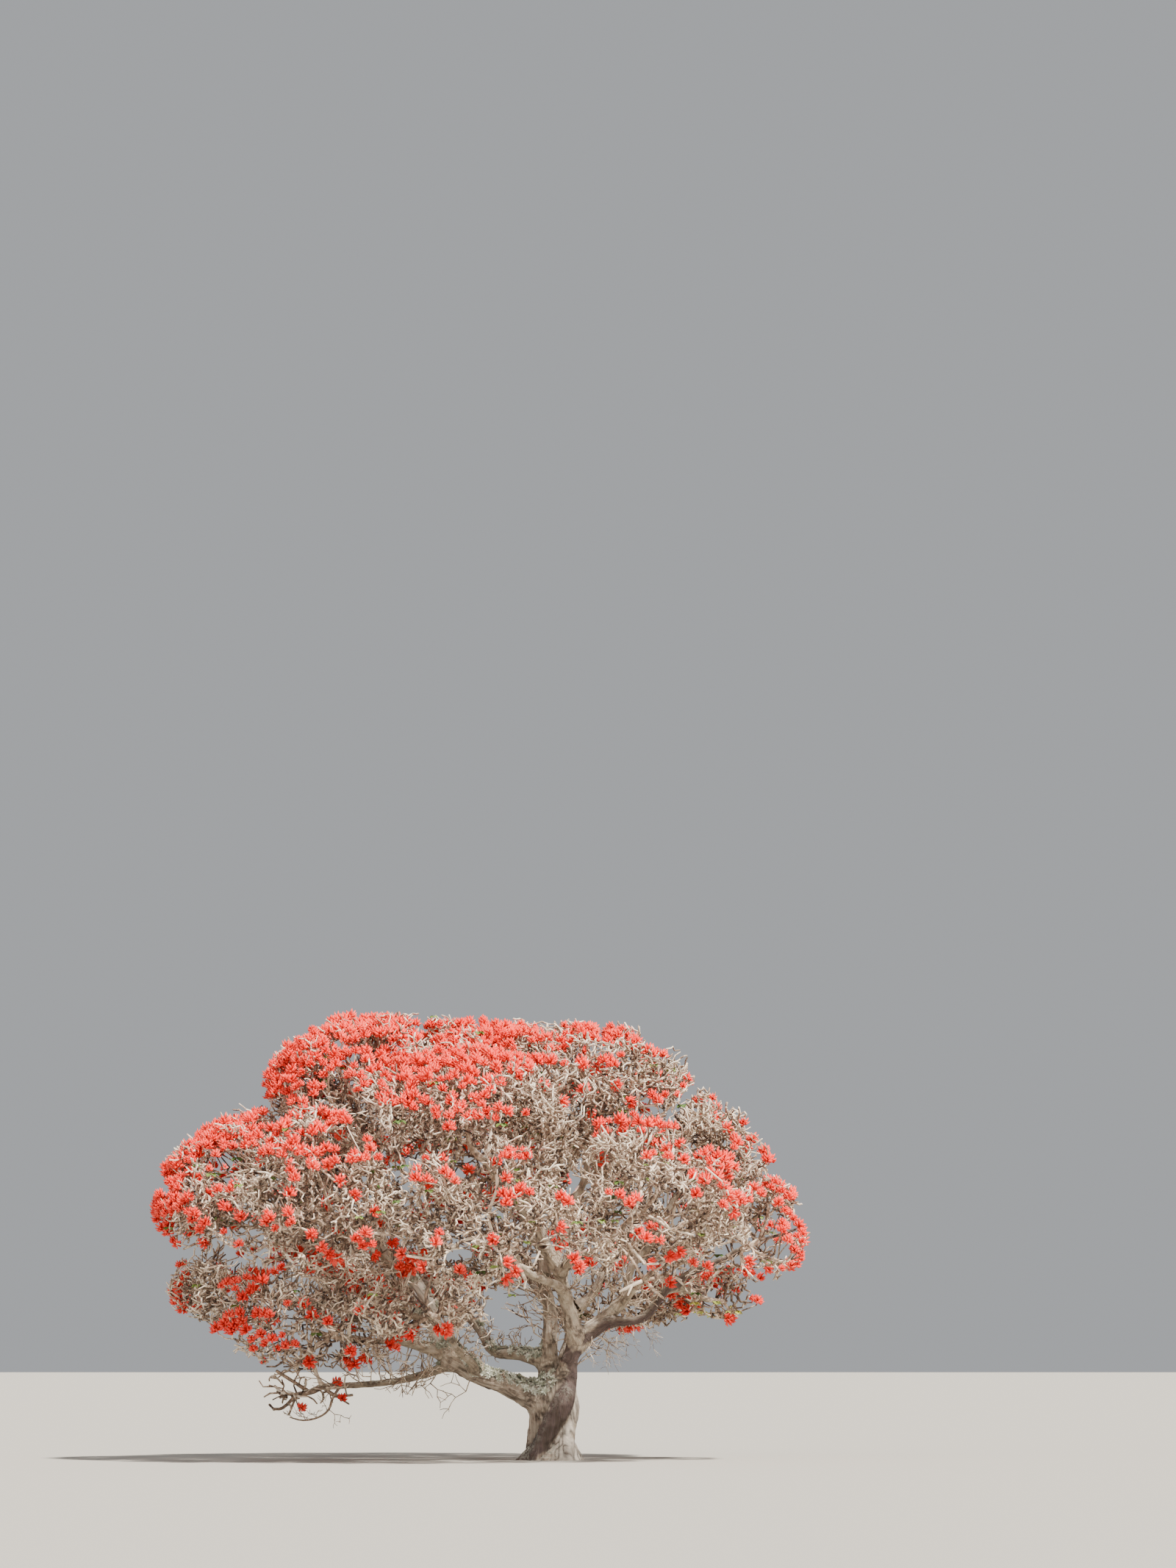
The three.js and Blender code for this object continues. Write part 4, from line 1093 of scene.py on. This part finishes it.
stem_skins = [trunk_skin()] + [tube_of(*path) for path in stem_paths + stub_paths]
stems_piece = heavy_piece("bark_trunk_and_stems", STEM_VOXEL, stem_skins, stem_paths + stub_paths)
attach(stems_piece, "root")
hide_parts("trunk", *stem_names)
bough_skins = [tube_of(*path) for path in bough_paths]
boughs_piece = heavy_piece("bark_boughs", BOUGH_VOXEL, bough_skins, stem_paths + bough_paths)
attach(boughs_piece, "root")
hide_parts(*("bough_" + name for name in bough_names))

# Twigs: the wood itself
# Stout, knuckly twigs with pale greige bark in tones that vary at random, with painted shade that darkens the
# twigs deep in the crown and painted light that pales those at its outside. Each is one tapering tube with its
# foot sunk in the wood that it forks from.
COARSE_SIDES = 6
FINE_SIDES = 3
CURVE_STEPS = 3  # rings for each stretch of a main twig
KNUCKLE = 0.16  # how much the girth swells and shrinks along a twig


def gathered(twigs, *names):
    """The twigs' values under each name, as arrays."""
    return [np.array([twig[name] for twig in twigs]) for name in names]


def wood_of(mass):
    """The tubes of a mass's twigs, grouped by their number of knots."""
    parts, tones, groups = [], [], {}
    for twig in mass["twigs"]:
        groups.setdefault((len(twig["points"]), twig["habit"] is COARSE), []).append(twig)
    for (knots, coarse), twigs in groups.items():
        paths, radii, items = gathered(twigs, "points", "radii", "item")
        if coarse:
            both = curve_through(np.concatenate([paths, radii[..., None]], axis=-1), CURVE_STEPS)
            paths, radii = both[..., :3], both[..., 3]
        rings = paths.shape[1]
        ripple = chance(mass["seed"], items[:, None], 40 + np.arange(rings)) - 0.5
        radii = radii * (1 + 2 * KNUCKLE * ripple)
        sides = COARSE_SIDES if coarse else FINE_SIDES
        parts.append(tube_grid(paths, radii, sides, 0.014))
        # painted shade and painted light: on top of a random tone, twigs deep in the crown get a darker tone
        # and those near its outside a paler one
        painted_light_outside = smoothstep(depth_in_crown(depths_in(paths[:, -1])), 0.55, 1.0)
        tone = 0.75 * chance(mass["seed"], items, 30) ** 1.3 + 0.25 * painted_light_outside
        tones.append(np.concatenate([np.repeat(tone, rings * sides), tone]))
    return parts, tones


def twig_bark():
    """Pale greige bark: the twig's tone, which holds painted shade deep in the crown, mottled by noise a few
    centimetres wide, with a fine bump.
    """
    bark = Finish("twig_bark", 0.85)
    mottled = bark.reckon("MULTIPLY_ADD", bark.stored("tone"), 0.6, bark.noise(16.0, 3.0)).outputs[0]
    colours = (0.5, (0.07, 0.044, 0.036)), (0.77, (0.42, 0.30, 0.215)), (1.0, (0.90, 0.77, 0.61))
    return bark.done(bark.ramp(mottled, *colours), bark.noise(90.0), 0.5, 0.004)


twig_material = twig_bark()
for mass in masses:
    piece = mesh_piece("wood_" + mass["name"], *wood_of(mass), twig_material)
    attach(piece, "root")
    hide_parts("twigs_" + mass["name"])

# Side twigs, dead wood and stubs
# Short crooked side twigs stand along stems and boughs, and a fringe of thin dead ones hangs under the right
# bough. A bleached dead limb stands at the right, two broken stubs stick out under the left fork, and the
# lowest bough ends in a hook that hangs. All are tubes sunk in the wood that they leave.
SIDE_CROOK = 0.45
SIDE_FORK = 0.62  # length of a fork against the twig it leaves
SIDE_THINNING = 0.8
SIDE_TAPER = np.array((1, 0.88, 0.76))
SIDE_LOWEST = 0.3  # no side twig ends nearer to the ground
THIN, STOUT, LONG = (0.18, 0.40), (0.16, 0.36), (0.28, 0.55)
# limb, twigs a metre, from and to which share of its length, lift, lengths, radius
SIDE_TWIGS = (
    ("left_fork", 6, (0.4, 1.0), 0.9, STOUT, 0.012),
    ("left_rise", 4, (0.05, 0.95), 0.2, LONG, 0.014),
    ("centre_stem", 11, (0.4, 0.98), 0.4, LONG, 0.013),
    ("front_stem", 11, (0.2, 0.98), 0.4, LONG, 0.013),
    ("back_stem", 8, (0.3, 0.98), 0.4, LONG, 0.013),
    ("left_back", 8, (0.08, 0.75), 0.8, STOUT, 0.012),
    ("left_low", 10, (0.1, 0.95), 0.9, STOUT, 0.013),
    ("left_skirt", 8, (0.1, 0.95), 0.7, STOUT, 0.014),
    ("front_low", 9, (0.25, 0.95), 0.8, STOUT, 0.012),
    ("left_front", 16, (0.08, 0.95), 0.1, LONG, 0.014),
    ("droop", 9, (0.12, 0.98), 0.9, LONG, 0.0125),
    ("left_low", 14, (0.15, 0.95), -0.7, LONG, 0.012),
    ("left_fork", 7, (0.7, 1.0), -0.5, LONG, 0.011),
    ("right_tip", 7, (0.3, 0.95), 0.8, STOUT, 0.013),
    ("right_tip", 12, (0.04, 0.42), -1.1, THIN, 0.0055),
    ("right_shoulder", 7, (0.15, 0.9), 0.6, STOUT, 0.014),
    ("right_inner", 9, (0.2, 0.95), 0.5, STOUT, 0.013),
    ("right_low", 10, (0.2, 0.95), 0.5, STOUT, 0.012),
    ("back_low_left", 8, (0.2, 0.95), 0.7, STOUT, 0.012),
    ("back_low_right", 8, (0.2, 0.95), 0.7, STOUT, 0.012),
)
HOOK = (
    (-3.44, -0.26, 0.98), (-3.5, -0.3, 0.8), (-3.66, -0.32, 0.68), (-3.9, -0.3, 0.63), (-4.12, -0.25, 0.68),
)
HOOK_RADII = (0.024, 0.011)
DEAD_LIMB = ((3.1, -1.0, 3.5), (2.92, -1.1, 3.88), (2.7, -1.16, 4.36))
# the dead limb's forks: which knot each leaves, its own two knots from there, radii at root and tip
DEAD_FORKS = (
    (2, (-0.12, -0.05, 0.02), (-0.2, -0.02, 0.14), 0.017, 0.01),
    (3, (0.05, 0.03, 0.12), (0.02, 0.05, 0.24), 0.016, 0.009),
)
# limb, end, radius and tone of each broken stub
STUBS = (("left_fork", (-1.44, -0.37, 1.72), 0.078, 0.8), ("left_fork", (-1.22, -0.24, 1.72), 0.026, 0.1))


def scatter(seed, items, draw):
    """Vectors whose parts run from -1 to 1 by chance."""
    return np.stack([2 * chance(seed, items, draw + k) - 1 for k in range(3)], axis=-1)


def side_twigs(limb, seed, per_metre, span, lift, lengths, radius):
    """Twigs at even shares of a limb, each of two stretches: out from it at a seeded angle, then on, bent by
    the lift. From the middle and the end of each leave three more of a shorter length, twice over."""
    path, radii = skin_path(limb)
    count = round(per_metre * run_along(path)[-1] * (span[1] - span[0]))
    item = np.arange(count)
    at = within(span, (item + chance(seed, item, 1)) / count) * (len(path) - 1.001)
    knot = at.astype(int)
    step = path[knot + 1] - path[knot]
    ahead = unit(step)
    spread = scatter(seed, item, 2)
    out = unit(spread - (spread * ahead).sum(-1, keepdims=True) * ahead)
    way = unit(out + 0.4 * ahead + (0, 0, lift))
    foot = path[knot] + step * (at - knot)[:, None] + way * 0.75 * radii[knot][:, None]
    length = within(lengths, chance(seed, item, 6))[:, None]
    groups = []
    for order in range(3):
        item = np.arange(len(foot))
        middle = foot + unit(way + SIDE_CROOK * scatter(seed, item, 10 + 8 * order)) * length / 2
        onward = way + SIDE_CROOK * scatter(seed, item, 13 + 8 * order) + (0, 0, 0.3 * lift)
        end = middle + unit(onward) * length / 2
        end[:, 2] = np.maximum(end[:, 2], SIDE_LOWEST)
        groups.append((np.stack([foot, middle, end], axis=1), np.tile(radius * SIDE_TAPER, (len(foot), 1))))
        foot = np.concatenate([middle, end, end])
        way = unit(np.tile(way, (3, 1)) + 0.95 * scatter(seed, np.arange(len(foot)), 50 + 4 * order))
        length = np.tile(length, (3, 1)) * SIDE_FORK
        radius *= SIDE_THINNING
    return groups


def smooth_tube(knots, thick, thin, sides=8):
    """One tube on a smooth curve through the knots, thinning evenly."""
    knots = np.array(knots, float)
    both = curve_through(np.column_stack([knots, np.linspace(thick, thin, len(knots))])[None], 3)
    return tube_grid(both[..., :3], both[..., 3], sides, 0.3 * thin)


def nearest_knot(paths, point):
    """The knot nearest to a point."""
    knots = np.concatenate(paths)
    return knots[np.argmin(np.linalg.norm(knots - point, axis=-1))]


hook_path = np.vstack([limbs["droop"]["points"][-1], HOOK])
hook = {"points": hook_path, "radii": np.linspace(*HOOK_RADII, len(hook_path)), "parent": limbs["droop"]}
parts = [smooth_tube(hook_path, *HOOK_RADII)]
tones = [np.full(len(parts[0][0]), 0.35)]
groups = side_twigs(hook, 390, 8, (0.3, 1.0), 0.3, (0.1, 0.26), 0.008)
for k, (name, *habit) in enumerate(SIDE_TWIGS):
    groups += side_twigs(limbs[name], 300 + k, *habit)
for paths, radii in groups:
    parts.append(tube_grid(paths, radii, 3, 0.006))
    tone = 0.2 + 0.8 * chance(299, np.arange(len(paths)), 1)
    tones.append(np.concatenate([np.repeat(tone, 9), tone]))
tip_wood = [twig["points"] for mass in masses if mass["name"] == "right_tip" for twig in mass["twigs"]]
dead = np.vstack([nearest_knot(tip_wood, DEAD_LIMB[0]), DEAD_LIMB])
parts.append(smooth_tube(dead, 0.036, 0.024))
for knot, middle, end, thick, thin in DEAD_FORKS:
    parts.append(smooth_tube((dead[knot], dead[knot] + middle, dead[knot] + end), thick, thin))
tones += [np.full(len(part[0]), 1.0) for part in parts[-1 - len(DEAD_FORKS) :]]
for name, end, thick, tone in STUBS:
    parts.append(smooth_tube((nearest_knot([limbs[name]["points"]], np.array(end)), end), 1.2 * thick, thick))
    tones.append(np.full(len(parts[-1][0]), tone))
piece = mesh_piece("wood_side_twigs", parts, tones, twig_material)
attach(piece, "root")
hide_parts(*sorted({"bough_" + name if name in bough_names else name for name, *_ in SIDE_TWIGS}))

# Lichen and a few leaves
# Grey-green rosettes of lichen and small epiphytes grip the top of the left fork, the crotch and the second
# left bough. The last leaves of the old season hang yellow-green at the low right, with a few green ones in
# the crown. Every blade is two faces folded along its middle, and three blades make one leaf of the tree.
BLADE_ALONG = np.array((0, 0.32, 0.68, 1, 0.68, 0.32))
BLADE_ACROSS = np.array((0, 0.5, 0.42, 0, -0.42, -0.5))
BLADE_RISE = np.array((0, 0.16, 0.1, -0.12, 0.1, 0.16))
GOLDEN_ANGLE = math.pi * (3 - math.sqrt(5))
ROSETTE_BLADES = 9
ROSETTE_SIZE = (0.035, 0.085)
# lowest and highest corner of each patch, and the share of the bark's corners that bear a rosette
LICHEN_PATCHES = (
    ((-1.75, -0.6, 1.2), (-0.1, 0.4, 1.95), 0.06),
    ((-0.45, -0.5, 1.05), (0.06, 0.4, 1.5), 0.04),
    ((-1.9, -0.2, 1.5), (-0.2, 0.9, 2.2), 0.02),
    ((-3.0, -0.8, 1.7), (-1.5, 0.3, 2.9), 0.012),
)
LEAF_SIZE = (0.07, 0.13)
YELLOW_REGION = ((1.75, -1.6, 2.0), (3.0, 1.4, 2.62))
YELLOW_SHARE = 0.22  # of the fine twigs that still bear a leaf in that region
GREEN_SHARE = 0.006  # and elsewhere


def blades(foot, along, up, length, width):
    """Blades of six corners from arrays of feet and directions: foot + along a L + across b W + up c L."""
    across = unit(np.cross(along, up))
    up = np.cross(across, along)
    shape = foot[:, None] + along[:, None] * (BLADE_ALONG[:, None] * length[:, None, None])
    shape = shape + across[:, None] * (BLADE_ACROSS[:, None] * width[:, None, None])
    shape = shape + up[:, None] * (BLADE_RISE[:, None] * length[:, None, None])
    start = 6 * np.arange(len(foot))[:, None]
    return shape.reshape(-1, 3), [np.concatenate([start + (0, 3, 2, 1), start + (0, 5, 4, 3)])]


def leaf_matter(name, roughness, *stops):
    """A plain leafy surface whose colour runs along the stops with each blade's tone."""
    leaf = Finish(name, roughness)
    return leaf.done(leaf.ramp(leaf.stored("tone"), *stops))


def rosettes():
    """Sites by chance on upward bark in the patches, with blades round each at golden angles, the inner ones
    steeper."""
    feet, ups = [], []
    for piece in (stems_piece, boughs_piece):
        corners, normals = corners_of(piece.data, "co"), corners_of(piece.data, "normal")
        for number, (low, high, share) in enumerate(LICHEN_PATCHES):
            inside = ((corners > low) & (corners < high)).all(-1) & (normals[:, 2] > 0.25)
            site = np.flatnonzero(inside & (chance(400 + number, np.arange(len(corners)), 1) < share))
            feet.append(corners[site])
            ups.append(normals[site])
    feet, ups = np.concatenate(feet), np.concatenate(ups)
    item = np.arange(len(feet))
    size = within(ROSETTE_SIZE, chance(410, item, 1))
    side = unit(np.cross(ups, (0.31, 0.87, 0.38)))
    other = np.cross(ups, side)
    k = np.arange(ROSETTE_BLADES)
    angle = k * GOLDEN_ANGLE + 6 * chance(410, item, 2)[:, None]
    steep = 0.25 + 0.9 * k / ROSETTE_BLADES
    out = np.cos(angle)[..., None] * side[:, None] + np.sin(angle)[..., None] * other[:, None]
    along = unit(out * np.cos(steep)[:, None] + ups[:, None] * np.sin(steep)[:, None]).reshape(-1, 3)
    foot = np.repeat(feet, ROSETTE_BLADES, axis=0)
    length = (size[:, None] * (0.7 + 0.6 * chance(411, item[:, None], k))).ravel()
    tone = np.repeat(chance(410, item, 3), ROSETTE_BLADES) * 0.7 + 0.3 * chance(412, np.arange(len(foot)), 1)
    rosette = blades(foot, along, np.repeat(ups, ROSETTE_BLADES, axis=0), length, 0.42 * length)
    return [rosette], [np.repeat(tone, 6)]


def old_leaves():
    """Three blades to a leaf at the ends of chosen fine twigs: one ahead and two aside, all drooping."""
    ends, ways, tones = [], [], []
    for mass in masses:
        for twig in mass["twigs"]:
            if twig["habit"] is not FINE:
                continue
            end = twig["points"][-1]
            low_right = (end > YELLOW_REGION[0]).all() and (end < YELLOW_REGION[1]).all()
            draw = chance(mass["seed"], twig["item"], 90)
            if draw < (YELLOW_SHARE if low_right else GREEN_SHARE):
                ends.append(end)
                ways.append(unit(end - twig["points"][-2]))
                tones.append(0.55 + 0.45 * draw / YELLOW_SHARE if low_right else 0.4 * draw / GREEN_SHARE)
    ends, ways, tones = np.array(ends), np.array(ways), np.array(tones)
    item = np.arange(len(ends))
    level = unit(ways * (1, 1, 0) + 0.4 * scatter(420, item, 1) * (1, 1, 0))
    side = np.cross(level, (0, 0, 1.0))
    size = within(LEAF_SIZE, chance(420, item, 5))
    stalk = ends + level * 0.5 * size[:, None] - (0, 0, 0.004)
    foot = np.concatenate([stalk, stalk, stalk])
    along = unit(np.concatenate([level, level * 0.35 + side, level * 0.35 - side]) - (0, 0, 0.45))
    length = np.tile(size, 3)
    leaf = blades(foot, along, np.tile((0, 0, 1.0), (len(foot), 1)), length, 0.95 * length)
    stalks = tube_grid(np.stack([ends - ways * 0.01, stalk], axis=1), np.full((len(ends), 2), 0.0025), 3)
    return [leaf, stalks], [np.repeat(np.tile(tones, 3), 6), np.concatenate([np.repeat(tones, 6), tones])]


LICHEN_COLOURS = (0.0, (0.34, 0.35, 0.25)), (0.5, (0.60, 0.61, 0.50)), (1.0, (0.80, 0.80, 0.71))
piece = mesh_piece("lichen_rosettes", *rosettes(), leaf_matter("grey_lichen", 0.9, *LICHEN_COLOURS))
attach(piece, "root")
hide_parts("left_fork", "trunk")
LEAF_COLOURS = (0.0, (0.05, 0.11, 0.02)), (0.5, (0.22, 0.30, 0.05)), (1.0, (0.62, 0.55, 0.10))
piece = mesh_piece("old_leaves", *old_leaves(), leaf_matter("old_leaf", 0.6, *LEAF_COLOURS))
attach(piece, "root")
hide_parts("twigs_right_low", "twigs_right_inner", "twigs_left_front")

# Blossom
# Coral-tree blossom: at the end of a bare upright twig, a spike of curved, claw-like flowers that crowd
# all round in a dome. Each flower is salmon red, paler or deeper from spray to spray.
FLORETS = 20
FLORET_SIDES = 3
FLORET_RADII = (0.008, 0.023)  # at the root and at the belly of a full-size flower
TOP_FLORET = 0.97  # height of the topmost flower's tip on its ball, and how far below it the last one's is
FLORET_FALL = 1.3
SPRAY_STALK = 0.007


def blossom_of(mass):
    """Flowers of a mass's sprays. Flower j stands at j golden angles round the axis, with its tip on a ball:
    the first at its top, the last a third below its middle. It leaves the axis low and curves up and out."""
    sprays = [twig for twig in mass["twigs"] if twig["tuft"]]
    if not sprays:
        return [], []
    foot = np.array([twig["points"][-1] for twig in sprays])
    top, size, item = gathered(sprays, "target", "tuft", "item")
    axis = unit(top - foot)
    side, other = sides_of(axis)
    j = np.arange(FLORETS)
    jitter = chance(mass["seed"], item[:, None], 60 + j)
    wobble = chance(mass["seed"], item[:, None], 100 + j)
    height = TOP_FLORET - FLORET_FALL * (j + 0.5) / FLORETS
    across = np.sqrt(1 - height**2)
    angle = j * GOLDEN_ANGLE + 0.8 * jitter
    out = np.cos(angle)[..., None] * side[:, None] + np.sin(angle)[..., None] * other[:, None]
    scale = (TUFT_RADIUS * size)[:, None] * (0.85 + 0.3 * wobble)
    middle = 0.42 * TUFT_LENGTH * size
    lift = middle[:, None] + scale * height
    low = middle[:, None] * (0.55 + 0.5 * np.clip(height, 0, 1))
    up = axis[:, None]
    root = foot[:, None] + up * low[..., None]
    tip = foot[:, None] + up * lift[..., None] + out * (scale * across)[..., None]
    belly = root + (tip - root) * 0.62
    belly = belly - up * (0.16 * scale * across)[..., None] + out * (0.08 * scale)[..., None]
    paths = np.stack([root, belly], axis=2).reshape(-1, 2, 3)
    girth = (size[:, None] * (0.85 + 0.3 * jitter)).ravel()[:, None]
    corners, faces = tube_grid(paths, girth * FLORET_RADII, FLORET_SIDES)
    corners[-len(paths):] = tip.reshape(-1, 3)
    tone = (chance(mass["seed"], item, 50)[:, None] * 0.55 + 0.45 * wobble).ravel()
    tones = [np.concatenate([np.repeat(tone, 2 * FLORET_SIDES), tone])]
    stalks = np.stack([foot - axis * 0.01, foot + axis * (0.6 * TUFT_LENGTH * size)[:, None]], axis=1)
    stalk_corners, stalk_faces = tube_grid(stalks, np.full((len(sprays), 2), SPRAY_STALK), 4, 0.01)
    tones.append(np.full(len(stalk_corners), 0.1))
    return [(corners, faces), (stalk_corners, stalk_faces)], tones


def petals():
    """Satin red petals, from deep red to salmon by each flower's tone, with faint mottling."""
    petal = Finish("red_petals", 0.6)
    mottled = petal.reckon("MULTIPLY_ADD", petal.noise(40.0), 0.35, petal.stored("tone")).outputs[0]
    colours = (0.1, (0.72, 0.012, 0.007)), (0.5, (0.96, 0.03, 0.016)), (0.95, (1.0, 0.09, 0.055))
    return petal.done(petal.ramp(mottled, *colours))


petal_material = petals()
for mass in masses:
    parts, tones = blossom_of(mass)
    if not parts:
        continue
    piece = mesh_piece("blossom_" + mass["name"], parts, tones, petal_material)
    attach(piece, "root")
    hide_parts("twigs_" + mass["name"])
